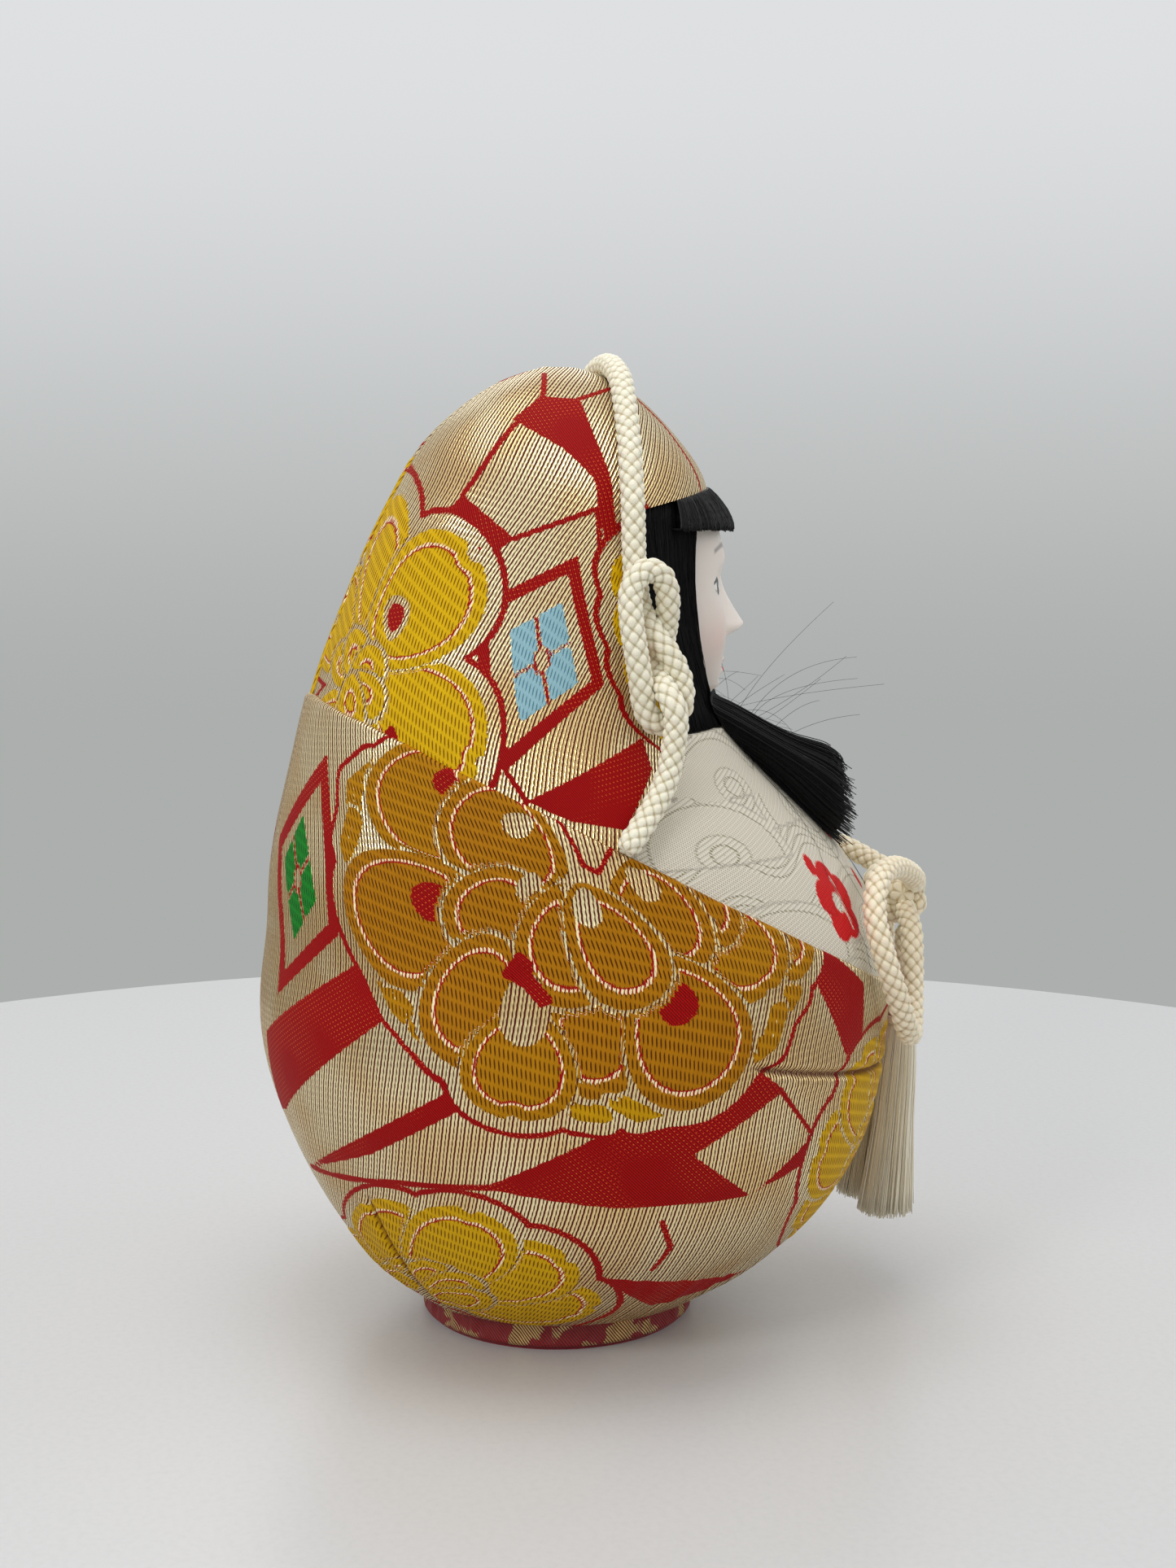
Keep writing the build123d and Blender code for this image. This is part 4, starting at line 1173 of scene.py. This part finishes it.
headSettings = {
    # height, reach forward, half width
    "stations": [
        (96.4, 19.2, 4.4), (98.0, 22.9, 6.2), (99.2, 25.2, 7.6), (100.6, 26.1, 8.9),
        (102.4, 26.3, 10.2), (104.6, 26.3, 11.4), (107.6, 26.3, 12.6), (111.0, 26.3, 13.5),
        (115.0, 26.1, 14.1),
        (118.5, 26.3, 14.3), (122.0, 26.0, 14.2), (126.6, 24.4, 13.7),
    ],
    "back": 12.4,
    "eyeHeight": 115.6,
    "eyeSpread": 7.5,
    "browHeight": 121.0,
    "noseTip": 109.6,
    "mouthHeight": 102.9,
    "skin": (tint(240, 228, 218), tint(246, 236, 226)),
}


def makeHead():
    table = np.array(headSettings["stations"])
    back = headSettings["back"]
    heights = np.linspace(table[0, 0], table[-1, 0], 210)
    turns = np.radians(np.linspace(-92, 92, 330))
    forward = splineThrough(table[:, 0], table[:, 1], heights)[:, None]
    width = splineThrough(table[:, 0], table[:, 2], heights)[:, None]
    # a full, slightly flattened section
    bulge = np.abs(np.sin(turns)) ** 0.92 * np.sign(np.sin(turns))
    x = width * bulge[None, :]
    y = back + (forward - back) * np.abs(np.cos(turns))[None, :] ** 0.86
    z = np.broadcast_to(heights[:, None], x.shape)

    def swell(cx, cz, wx, wz, amount):
        return amount * np.exp(-((x - cx) / wx) ** 2 - ((z - cz) / wz) ** 2)

    tip = headSettings["noseTip"]
    eye, spread = headSettings["eyeHeight"], headSettings["eyeSpread"]
    mouth = headSettings["mouthHeight"]
    front = np.clip(np.cos(turns), 0, 1)[None, :]
    # nose: a narrow bridge that grows to a small round tip
    along = np.clip((118.5 - z) / (118.5 - tip), 0, 1.0)
    under = 1 - smoothStep(tip - z, 0.2, 3.0)
    bridge = (0.15 + 3.9 * along ** 1.5) * under
    noseWidth = 1.25 + 0.85 * along
    y = y + bridge * np.exp(-(np.abs(x) / noseWidth) ** 2.2) * front
    for side in (-1, 1):
        y = y + swell(side * 1.75, tip - 1.1, 0.95, 1.0, 0.85) * front
        y = y - swell(side * (spread - 0.6), eye + 0.6, 3.4, 2.6, 1.25) * front
        y = y + swell(side * spread, eye - 0.2, 2.4, 1.15, 0.5) * front
        y = y + swell(side * 6.4, 107.5, 3.8, 3.9, 0.75) * front
        y = y + swell(side * 4.4, 119.6, 4.0, 1.5, 0.3) * front
    y = y + (swell(0, mouth + 0.95, 1.9, 0.75, 0.95) + swell(0, mouth - 0.85, 1.6, 0.8, 0.95)) * front
    y = y - (swell(0, mouth, 2.1, 0.32, 0.42) + swell(0, mouth + 2.6, 0.7, 1.0, 0.3)) * front
    y = y - swell(0, mouth - 2.1, 2.8, 0.7, 0.5) * front
    y = y + swell(0, 99.8, 2.6, 1.5, 0.7) * front
    spots = np.stack([x, -y, z], -1)
    ax = np.abs(x)
    # painted features as signed distances
    lidArc = eye + 1.0 - 0.11 * (ax - spread - 0.1) ** 2
    along = (ax - spread) / 2.3
    upperLid = np.minimum(0.34 - np.abs(z - lidArc) - 0.12 * along, 2.5 - np.abs(ax - spread))
    iris = np.minimum(1.15 - np.hypot((ax - spread) / 1.0, (z - eye + 0.05) / 1.2), lidArc - z)
    aside = np.abs(ax - spread)
    underArc = eye - 1.0 + 0.1 * aside ** 2
    white = np.minimum.reduce([lidArc - z, z - underArc - 0.05, 2.25 - aside])
    lowerLid = np.minimum(0.1 - np.abs(z - underArc), 1.9 - aside)
    brow = headSettings["browHeight"] + 0.9 - 0.07 * (ax - 6.8) ** 2
    brow = np.minimum(0.36 - np.abs(z - brow) - 0.02 * np.abs(ax - 5.6), 3.6 - np.abs(ax - 7.0))
    bow = mouth + 0.95 - 0.5 * (ax / 2.0) ** 2 - 0.28 * np.exp(-(ax / 0.42) ** 2)
    lips = np.minimum.reduce([bow + 0.1 - z, z - (mouth - 1.35 + 0.33 * ax ** 2), 2.35 - ax])
    parting = 0.13 - np.abs(z - mouth + 0.05 * ax ** 2)
    blush = np.exp(-((ax - 8.2) / 4.2) ** 2 - ((z - 107.4) / 4.0) ** 2)
    layers = {"line": np.maximum(upperLid, iris), "soft": np.maximum(brow, lowerLid), "white": white,
              "lips": lips, "parting": np.minimum(parting, lips + 0.3), "blush": blush}
    piece = sheetObject("head", spots, layers)
    material, tree, shader = newMaterial("shellWhite", 0.46)
    mottled = noise(tree, 120, 3)
    skin = blendColours(tree, mottled, *headSettings["skin"])
    blush = calc(tree, "MULTIPLY", attribute(tree, "blush"), 0.34)
    skin = blendColours(tree, blush, skin, tint(236, 184, 172))
    softInk = calc(tree, "MULTIPLY", ramp(tree, attribute(tree, "soft"), -0.3, 0.22), 0.62)
    inks = [
        # how much of the paint shows, and its colour, from the first coat to the last
        (ramp(tree, attribute(tree, "white"), -0.12, 0.12), tint(246, 242, 238)),
        (softInk, tint(92, 82, 84)),
        (ramp(tree, attribute(tree, "lips"), -0.14, 0.18), tint(196, 44, 48)),
        (ramp(tree, attribute(tree, "parting"), -0.08, 0.06), tint(122, 16, 22)),
        (ramp(tree, attribute(tree, "line"), -0.1, 0.06), tint(26, 24, 28)),
    ]
    for amount, ink in inks:
        skin = blendColours(tree, amount, skin, ink)
    tree.links.new(skin, shader.inputs["Base Color"])
    shader.inputs["Subsurface Weight"].default_value = 0.2
    shader.inputs["Subsurface Radius"].default_value = (0.9, 0.45, 0.35)
    shader.inputs["Subsurface Scale"].default_value = 0.0012
    shader.inputs["Coat Weight"].default_value = 0.12
    shader.inputs["Coat Roughness"].default_value = 0.35
    bump(tree, shader, noise(tree, 1400, 2), 0.012, 0.4)
    return dress(piece, material, "doll", "shell_white", "head")


hairSettings = {
    "inset": 1.0,           # side hair lies this far inside the hood's outline
    "faceHalfWidth": 13.2,
    "faceForward": 15.4,
    "bangsProud": 4.2,
    "bangsHeight": 124.3,
    # forward, height, half width across, half thickness, degrees below level
    "lock": [
        (16.6, 98.6, 4.8, 2.4, 50), (20.0, 97.0, 5.2, 2.9, 48), (25.3, 93.9, 5.4, 3.2, 46),
        (31.3, 90.2, 5.6, 3.7, 40), (37.1, 86.2, 6.2, 5.6, 24), (41.4, 82.4, 6.6, 6.8, 0),
    ],
    "lockSpread": 14.6,
    "lockStrands": 1300,
    "flyaways": 27,
    "colours": (tint(4, 4, 5), tint(14, 12, 12)),
}


def hairMaterial():
    material, tree, shader = newMaterial("blackSilkHair", 0.42, specular=0.16)
    streak = noise(tree, 420, 2, (1, 1, 0.12))
    colour = blendColours(tree, streak, *hairSettings["colours"])
    tree.links.new(colour, shader.inputs["Base Color"])
    shader.inputs["Sheen Weight"].default_value = 0.04
    bump(tree, shader, noise(tree, 2600, 2, (1, 1, 0.08)), 0.05, 0.6)
    return material


def strandMesh(name, lines, radii):
    # thin three-sided threads joined into one mesh; lines are (count, points, 3)
    lines = np.asarray(lines, float)
    count, steps = lines.shape[:2]
    radii = np.broadcast_to(np.asarray(radii, float).reshape(-1, 1), (count, steps))
    tangent = np.gradient(lines, axis=1)
    tangent /= np.linalg.norm(tangent, axis=2, keepdims=True) + 1e-9
    helper = np.where(np.abs(tangent[..., :1]) < 0.8, [1.0, 0, 0], [0, 1.0, 0])
    first = np.cross(tangent, helper)
    first /= np.linalg.norm(first, axis=2, keepdims=True) + 1e-9
    second = np.cross(tangent, first)
    taper = np.linspace(1, 0.75, steps)[None, :]
    rings = []
    for corner in range(3):
        a = corner * 2 * math.pi / 3
        rings.append(lines + (first * math.cos(a) + second * math.sin(a)) * (radii * taper)[..., None])
    verts = np.stack(rings, 2).reshape(-1, 3)
    base = (np.arange(count)[:, None, None] * steps + np.arange(steps - 1)[None, :, None]) * 3
    corner = np.arange(3)[None, None, :]
    after = (corner + 1) % 3
    faces = np.stack([base + corner, base + after, base + 3 + after, base + 3 + corner], -1)
    faces = faces.reshape(-1, 4)
    start = np.arange(count) * steps * 3
    caps = np.concatenate([np.stack([start + 2, start + 1, start], -1),
                           np.stack([start, start + 1, start + 2], -1) + (steps - 1) * 3])
    return meshObject(name, verts, faces.tolist() + caps.tolist())


def makeSideHair(name, side, material):
    inset = hairSettings["inset"]
    low = shelfRun + 0.3
    high = float(np.interp(math.pi * 0.8, fineAngles, bandRun)) - 0.6
    rows, columns, inner = 90, 150, 60
    run = np.linspace(low, high, rows)[:, None]
    start = edgeAngle(run) + 0.02
    width = profile(run)[3]
    half = hairSettings["faceHalfWidth"]
    stop = math.pi - np.arcsin(np.clip(half / (width - inset), 0, 1))
    # the mass narrows to the jaw towards its lower end
    jaw = smoothStep(run, low + 16, low)
    stop = stop + jaw * 0.16
    share = np.linspace(0, 1, columns)[None, :]
    angle = start + share * (stop - start)
    rng = np.random.default_rng(31 + side)
    groove = np.interp(np.linspace(0, 90, columns + inner), np.arange(91), rng.normal(0, 0.16, 91))
    groove = groove + rng.normal(0, 0.07, columns + inner)
    run = np.broadcast_to(run, angle.shape)
    outer = onBody(angle, run, -inset + groove[None, :columns] + 0.25 * np.sin(share * math.pi))
    # beside the face the hair turns in and lies along the cheek
    corner = outer[:, -1:]
    inShare = np.linspace(0, 1, inner + 1)[None, 1:]
    deep = corner[..., 1] + (-hairSettings["faceForward"] - corner[..., 1]) * inShare
    x = corner[..., 0] * (1 - 0.03 * np.sin(inShare * math.pi)) + groove[None, columns:] * 0.9
    wall = np.stack([x, deep, np.broadcast_to(corner[..., 2], deep.shape)], -1)
    spots = np.concatenate([outer, wall], 1)
    spots[..., 0] *= -side
    piece = sheetObject("sideHairBase", spots, flip=side < 0)
    # loose threads over the mass
    count = 520
    pick = rng.uniform(0.02, 0.99, count) * (columns + inner * 0.7 - 2)
    drift = rng.normal(0, 0.8, count)
    lines = np.zeros((count, 12, 3))
    for k, place in enumerate(np.linspace(0, rows - 1, 12)):
        column = np.clip(pick + drift * k, 0, columns + inner - 2).astype(int)
        lines[:, k] = spots[int(place), column]
    outward = np.zeros_like(lines)
    outward[..., 1] = -1
    outward[..., 0] = np.sign(lines[..., 0]) * 0.4
    lines += outward * rng.uniform(0.0, 0.16, (count, 1, 1))
    threads = strandMesh("sideHairThreads", lines, rng.uniform(0.05, 0.09, count))
    coat((piece, threads), material)
    piece = joinPieces("sideHair" + name.capitalize(), [piece, threads])
    return dress(piece, material, "doll", "hair_silk", "hair_side_" + name)


def makeBangs(material):
    proud, cut = hairSettings["bangsProud"], hairSettings["bangsHeight"]
    columns = 420
    # only in front of the head's flat back
    bottomRun = float(np.interp(cut, profileTable[:, 0], profileRun))
    _, back, front, _ = profile(bottomRun)
    edge = math.acos((headSettings["back"] + 0.4 - (front - back) / 2) / ((front + back) / 2))
    angles = np.linspace(math.pi - edge, math.pi + edge, columns)
    top = np.interp(angles, fineAngles, bandRun)
    rng = np.random.default_rng(5)
    groove = np.interp(np.linspace(0, 130, columns), np.arange(131), rng.normal(0, 0.1, 131))
    groove += rng.normal(0, 0.05, columns)
    jag = rng.normal(0, 0.12, columns)
    reach = proud * (0.12 + 0.88 * smoothStep(-np.cos(angles), 0.45, 0.95))
    # down from the band, out over the brow, and back under the straight cut
    rows = [(1.0, -0.2), (0.99, 0.35), (0.94, 0.62), (0.82, 1.05), (0.66, 1.6), (0.48, 2.15),
            (0.3, 2.6), (0.14, 2.9), (0.04, 3.0), (0.0, 2.9)]
    spots = []
    for share, lift in rows:
        run = bottomRun + (top - bottomRun) * share
        depth = groove * min(1.0, (1 - share) * 6) if share < 1 else 0 * groove
        spots.append(onBody(angles, run + jag * (share < 0.1), lift / 3.0 * reach + depth - 0.1))
    for lift in (2.2, 1.0, -1.0, -3.2):
        ring = onBody(angles, np.full(columns, bottomRun), lift * reach / proud + groove * 0.5)
        ring[:, 2] += 0.05 + jag * 0.6
        spots.append(ring)
    spots = np.array(spots)
    piece = sheetObject("bangsBase", spots)
    count = 900
    pick = rng.uniform(0.01, 0.99, count) * (columns - 2)
    lines = np.zeros((count, 9, 3))
    for k in range(9):
        column = np.clip(pick + rng.normal(0, 0.35, count) * k * 0.5, 0, columns - 1).astype(int)
        lines[:, k] = spots[k + 1 if k < 8 else 9, column]
    lines[:, -1, 2] -= rng.uniform(0.0, 0.22, count)
    lines[:, :, 1] -= rng.uniform(-0.02, 0.06, (count, 1))
    threads = strandMesh("bangsThreads", lines, rng.uniform(0.045, 0.08, count))
    coat((piece, threads), material)
    piece = joinPieces("bangs", [piece, threads])
    return dress(piece, material, "doll", "hair_silk", "hair_bangs")


def makeLock(name, side, material):
    stations = np.array(hairSettings["lock"])
    chordLock = lengthAlong(stations[:, :2])
    steps = 16
    places = np.linspace(0, chordLock[-1], steps)
    table = np.stack([splineThrough(chordLock, stations[:, k], places) for k in range(5)], -1)
    pitch = np.radians(table[:, 4])
    upward = np.stack([np.sin(pitch), np.cos(pitch)], -1)
    rng = np.random.default_rng(77 + side)
    count = hairSettings["lockStrands"]
    # strands fill the section and keep their place in it, with a little wander
    radius = np.sqrt(rng.uniform(0, 1, count)) ** 0.8
    turn = rng.uniform(0, 2 * math.pi, count)
    u, v = radius * np.cos(turn), radius * np.sin(turn)
    stop = rng.uniform(0.9, 1.06, count) - 0.06 * (radius > 0.85) * rng.uniform(0, 1, count)
    lines = np.zeros((count, steps, 3))
    sway = rng.normal(0, 0.22, (count, 2))
    for k in range(steps):
        share = np.clip(k / (steps - 1) * stop, 0, 1.1) * (steps - 1)
        row = [np.interp(share, np.arange(steps), table[:, c]) for c in range(4)]
        over = np.clip(share - (steps - 1), 0, 2)
        up = [np.interp(share, np.arange(steps), upward[:, c]) for c in range(2)]
        across = u * row[2] + sway[:, 0] * k / steps
        thick = v * row[3] + sway[:, 1] * k / steps
        lines[:, k, 0] = side * hairSettings["lockSpread"] + across
        lines[:, k, 1] = -(row[0] + up[0] * thick + over * 1.5)
        lines[:, k, 2] = row[1] + up[1] * thick - over * (0.8 - 0.5 * v)
    # lie on the chest, not in it
    lines[..., 1] = np.minimum(lines[..., 1], skinDepth(lines[..., 0], lines[..., 2], 0.25))
    threads = strandMesh("lockThreads", lines, rng.uniform(0.07, 0.12, count))
    # a dark grooved heart under the strands
    around = 64
    a = np.linspace(0, 2 * math.pi, around + 1)[:-1]
    groove = 0.86 + 0.03 * np.sin(a * 23) + 0.02 * np.sin(a * 41)
    heart = []
    for k in range(steps):
        shrink = 1.0 if k < steps - 1 else 0.8
        across = np.cos(a) * table[k, 2] * groove * shrink
        thick = np.sin(a) * table[k, 3] * groove * shrink
        back = 0.6 * (k == steps - 1)
        heart.append(np.stack([side * hairSettings["lockSpread"] + across,
                               -(table[k, 0] - back + upward[k, 0] * thick),
                               table[k, 1] + upward[k, 1] * thick], -1))
    heart = np.array(heart)
    heart[..., 1] = np.minimum(heart[..., 1], skinDepth(heart[..., 0], heart[..., 2], 0.15))
    core = sheetObject("lockHeart", heart, wrap=True, flip=side > 0)
    lastRing = list(range((steps - 1) * around, steps * around))
    addFaces(core, [list(range(around)), lastRing[::-1]])
    # single hairs that have sprung loose
    wild = hairSettings["flyaways"]
    free = np.zeros((wild, 14, 3))
    for k in range(wild):
        begin = lines[rng.integers(count), rng.integers(3, 10)]
        # a few long ones stand up past the cheek, and a few hang down over the chest
        fallen = k % 3 == 0
        reach = rng.uniform(16, 30) if k < 3 or fallen else rng.uniform(8, 22)
        aim = np.array([rng.normal(0, 0.45) + side * 0.1, -rng.uniform(0.2, 1.0), rng.uniform(-0.4, 1.1)])
        if fallen:
            begin = lines[rng.integers(count), rng.integers(1, 5)]
            aim = np.array([rng.normal(0, 0.12) + side * 0.2, -0.25, -1.0])
        aim /= np.linalg.norm(aim)
        curl = np.array([rng.normal(0, 0.3), rng.normal(0, 0.25), rng.normal(-0.35, 0.3)])
        q = np.linspace(0, 1, 14)[:, None]
        free[k] = begin + aim * reach * q + curl * reach * q ** 2
    free[..., 1] = np.clip(free[..., 1], -58, None)
    free[..., 0] = np.clip(free[..., 0], -30, 30)
    free[..., 1] = np.minimum(free[..., 1], skinDepth(free[..., 0], free[..., 2], 0.3, grow=0.0))
    wildHairs = strandMesh("wildHairs", free, np.full(wild, 0.035))
    parts = [core, threads, wildHairs]
    coat(parts, material)
    smoothShade(parts)
    piece = joinPieces("hairLock" + name.capitalize(), parts)
    return dress(piece, material, "doll", "hair_silk", "hair_lock_" + name)


knotSettings = {
    "place": (0.0, -57.0, 65.0),
    "half": (5.0, 4.8),     # depth and height
}
tasselSettings = {
    "spread": 3.8,
    "forward": 57.2,
    "tailTop": 59.85,
    "tailBottom": 50.2,
    "tailRadius": 1.5,
    "headTop": 49.6,
    "headRadius": 2.6,
    "headHeight": 4.2,
    "domeHeight": 2.2,
    "skirtBottom": 12.4,
    "skirtTopRadius": 2.2,
    "skirtBottomRadius": 4.4,
    "lean": 3.0,
    "outward": 1.2,
    "strands": 1500,
    "silk": (tint(244, 228, 190), tint(255, 248, 226)),
}


def makeKnot(material):
    # the cord is wound twice round the ears, over one turn across
    cx, cy, cz = knotSettings["place"]
    radius = cordSettings["diameter"] / 2
    deep, tall = (half - radius for half in knotSettings["half"])
    pieces = []
    for k, (shift, lean) in enumerate(((-1.9, 0.5), (1.9, 0.2))):
        loop = []
        for a in np.linspace(0, 2 * math.pi, 90):
            c, s = math.cos(a), math.sin(a)
            # rounded square in the depth and height directions
            squash = (abs(c) ** 3 + abs(s) ** 3) ** (-1 / 3)
            loop.append((cx + shift + lean * s, cy - deep * c * squash, cz + tall * s * squash))
        pieces.append(braidedTube("knotTurn" + str(k), evenLine(np.array(loop)), radius))
    across = cordLine([(cx - 5.0, cy + 0.6, cz + 0.6), (cx - 2, cy + 0.2, cz), (cx + 2, cy + 0.2, cz),
                       (cx + 5.0, cy + 0.6, cz + 0.6)])
    pieces.append(braidedTube("knotAcross", across, 2.6, plump=0.4))
    coat(pieces, material)
    knot = joinPieces("bowKnot", pieces)
    return dress(knot, material, "doll", "cream_cord", "bow_knot")


def silkMaterial():
    material, tree, shader = newMaterial("tasselSilk", 0.42)
    streak = noise(tree, 700, 2, (1, 1, 0.05))
    colour = blendColours(tree, streak, *tasselSettings["silk"])
    tree.links.new(colour, shader.inputs["Base Color"])
    shader.inputs["Sheen Weight"].default_value = 0.4
    shader.inputs["Sheen Roughness"].default_value = 0.35
    shader.inputs["Subsurface Weight"].default_value = 0.15
    shader.inputs["Subsurface Radius"].default_value = (1.0, 0.95, 0.85)
    shader.inputs["Subsurface Scale"].default_value = 0.001
    bump(tree, shader, noise(tree, 3000, 2, (1, 1, 0.04)), 0.05, 0.5)
    return material


def makeTassel(name, side, cordMaterial, silk):
    look = tasselSettings
    x, y = side * look["spread"], -look["forward"]
    down = np.linspace(look["tailTop"], look["tailBottom"], 60)
    tail = np.stack([np.full(60, x), np.full(60, y), down], -1)
    cord = braidedTube("tasselCord" + name.capitalize(), tail, look["tailRadius"], 6, 1.7, 0.34, 40)
    dress(cord, cordMaterial, "tail_" + name, "cream_cord", "tassel_cord_" + name)
    # wound head: threads laid up over a round core
    base = look["headTop"] - look["headHeight"]
    around, rows = 96, 34
    a = np.linspace(0, 2 * math.pi, around + 1)[:-1]
    outline = []
    radius, dome, straight = look["headRadius"], look["domeHeight"], 0.62
    for q in np.linspace(0, 1, rows):
        if q < straight:
            bulge = 0.9 + 0.1 * math.sin(q / straight * math.pi / 2)
            outline.append((radius * bulge, base + q / straight * (look["headHeight"] - dome)))
        else:
            b = (q - straight) / (1 - straight) * math.pi / 2
            reach = 0.25 + (radius - 0.25) * math.cos(b)
            outline.append((reach, look["headTop"] - dome + dome * math.sin(b)))
    outline = np.array(outline)
    ridge = 0.09 * np.abs(np.sin(a[None, :] * 13 + outline[:, 1:] * 0.9))
    reach = outline[:, :1] - 0.1 + ridge
    heights = np.broadcast_to(outline[:, 1:], reach.shape)
    spots = np.stack([x + reach * np.cos(a), y + reach * np.sin(a), heights], -1)
    # the ridges' swell sets the braid material's painted shade, deeper between the ridges
    layers = {"swell": 0.4 + ridge * 6, "across": ridge * 8}
    head = sheetObject("tasselHead" + name.capitalize(), spots, layers, wrap=True)
    dress(head, cordMaterial, "tassel_" + name, "cream_cord", "tassel_head_" + name)
    # binding under the head: a fine thread wound round five times
    coil = []
    for q in np.linspace(0, 1, 420):
        b = q * 5 * 2 * math.pi
        coil.append((x + 2.42 * math.cos(b), y + 2.42 * math.sin(b), base - 0.35 - q * 1.05))
    coil = np.array(coil)
    normal, binormal = carriedFrame(coil)
    ring = np.linspace(0, 2 * math.pi, 9)[:-1]
    points = coil[:, None] + 0.2 * ringAbout(normal, binormal, ring)
    layers = {"swell": np.full(points.shape[:2], 0.7), "across": np.zeros(points.shape[:2])}
    band = sheetObject("tasselBand" + name.capitalize(), points, layers, wrap=True)
    dress(band, cordMaterial, "tassel_" + name, "cream_cord", "tassel_band_" + name)
    # skirt: silk threads that spread a little and lean towards the belly
    rng = np.random.default_rng(140 + side)
    count, steps = look["strands"], 11
    radius = np.sqrt(rng.uniform(0, 1, count)) ** 0.7
    turn = rng.uniform(0, 2 * math.pi, count)
    stop = rng.uniform(0.955, 1.0, count)
    bend = rng.normal(0, 0.35, (count, 2))
    lines = np.zeros((count, steps, 3))
    length = base - look["skirtBottom"]
    spreadOut = look["skirtBottomRadius"] - look["skirtTopRadius"]
    for k in range(steps):
        q = k / (steps - 1) * stop
        flare = look["skirtTopRadius"] + spreadOut * q ** 1.15
        bulge = 0.25 * np.sin(np.clip(q * 6, 0, math.pi))
        wide = (flare + bulge - 0.1) * radius
        lines[:, k, 0] = x + side * look["outward"] * q ** 1.2 + wide * np.cos(turn)
        lines[:, k, 1] = y + look["lean"] * q ** 1.2 + wide * np.sin(turn)
        lines[:, k, 2] = base + 0.25 - q * (length + 0.2)
        lines[:, k, :2] += bend * (q ** 2)[:, None] * 0.6
    threads = strandMesh("skirtThreads", lines, rng.uniform(0.09, 0.14, count))
    # a grooved inner bundle keeps daylight out of the skirt
    around = 72
    a = np.linspace(0, 2 * math.pi, around + 1)[:-1]
    groove = 0.84 + 0.035 * np.sin(a * 17) + 0.025 * np.sin(a * 31)
    bundle = []
    for q in np.linspace(0, 0.955, 14):
        flare = look["skirtTopRadius"] + spreadOut * q ** 1.15
        bundle.append(np.stack([x + side * look["outward"] * q ** 1.2 + flare * groove * np.cos(a),
                                y + look["lean"] * q ** 1.2 + flare * groove * np.sin(a),
                                np.full(around, base + 0.1 - q * length)], -1))
    heart = sheetObject("skirtHeart", np.array(bundle), wrap=True)
    addFaces(heart, [list(range(around))[::-1], list(range(13 * around, 14 * around))])
    coat((heart, threads), silk)
    smoothShade((heart, threads))
    skirt = joinPieces("tasselSkirt" + name.capitalize(), [heart, threads])
    dress(skirt, silk, "tassel_" + name, "tassel_silk", "tassel_skirt_" + name)


def plainNodes():
    compound, tree, shader = newMaterial("coreCompound", 0.85)
    grain = noise(tree, 420, 5)
    colour = blendColours(tree, grain, tint(150, 118, 84), tint(188, 158, 120))
    tree.links.new(colour, shader.inputs["Base Color"])
    bump(tree, shader, grain, 0.25, 0.7)
    wood, tree, shader = newMaterial("pegWood", 0.6)
    rings = noise(tree, 160, 4, (1, 1, 0.08))
    colour = blendColours(tree, ramp(tree, rings, 0.3, 0.7), tint(168, 124, 76), tint(214, 176, 124))
    tree.links.new(colour, shader.inputs["Base Color"])
    bump(tree, shader, rings, 0.08, 0.6)
    board, tree, shader = newMaterial("footBoard", 0.8)
    fibre = noise(tree, 900, 4, (1, 1, 3))
    colour = blendColours(tree, fibre, tint(164, 140, 106), tint(196, 174, 138))
    tree.links.new(colour, shader.inputs["Base Color"])
    bump(tree, shader, fibre, 0.08, 0.6)
    felt, tree, shader = newMaterial("padFelt", 0.95)
    fluff = noise(tree, 1600, 5)
    colour = blendColours(tree, fluff, tint(92, 12, 22), tint(140, 26, 36))
    tree.links.new(colour, shader.inputs["Base Color"])
    shader.inputs["Sheen Weight"].default_value = 0.5
    bump(tree, shader, fluff, 0.15, 0.8)
    steel, tree, shader = newMaterial("pinSteel", 0.32, metallic=0.95)
    brushed = noise(tree, 2600, 3, (1, 0.05, 1))
    colour = blendColours(tree, brushed, tint(168, 168, 172), tint(206, 206, 210))
    tree.links.new(colour, shader.inputs["Base Color"])
    bump(tree, shader, brushed, 0.01, 0.5)
    finishes = {"body_core": compound, "neck_peg": wood, "foot_disc": board, "foot_pad": felt,
                "bow_pin": steel}
    for node, material in finishes.items():
        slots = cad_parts[node].data.materials
        slots.clear()
        slots.append(material)


makeFoot()
makeHead()
hair = hairMaterial()
makeBangs(hair)
for name, side in sides.items():
    makeSideHair(name, side, hair)
    makeLock(name, side, hair)
print("foot, head and hair are in place")
makeKnot(creamBraid)
silk = silkMaterial()
for name, side in sides.items():
    makeTassel(name, side, creamBraid, silk)
plainNodes()
print("knot, tassels and inner parts are finished")
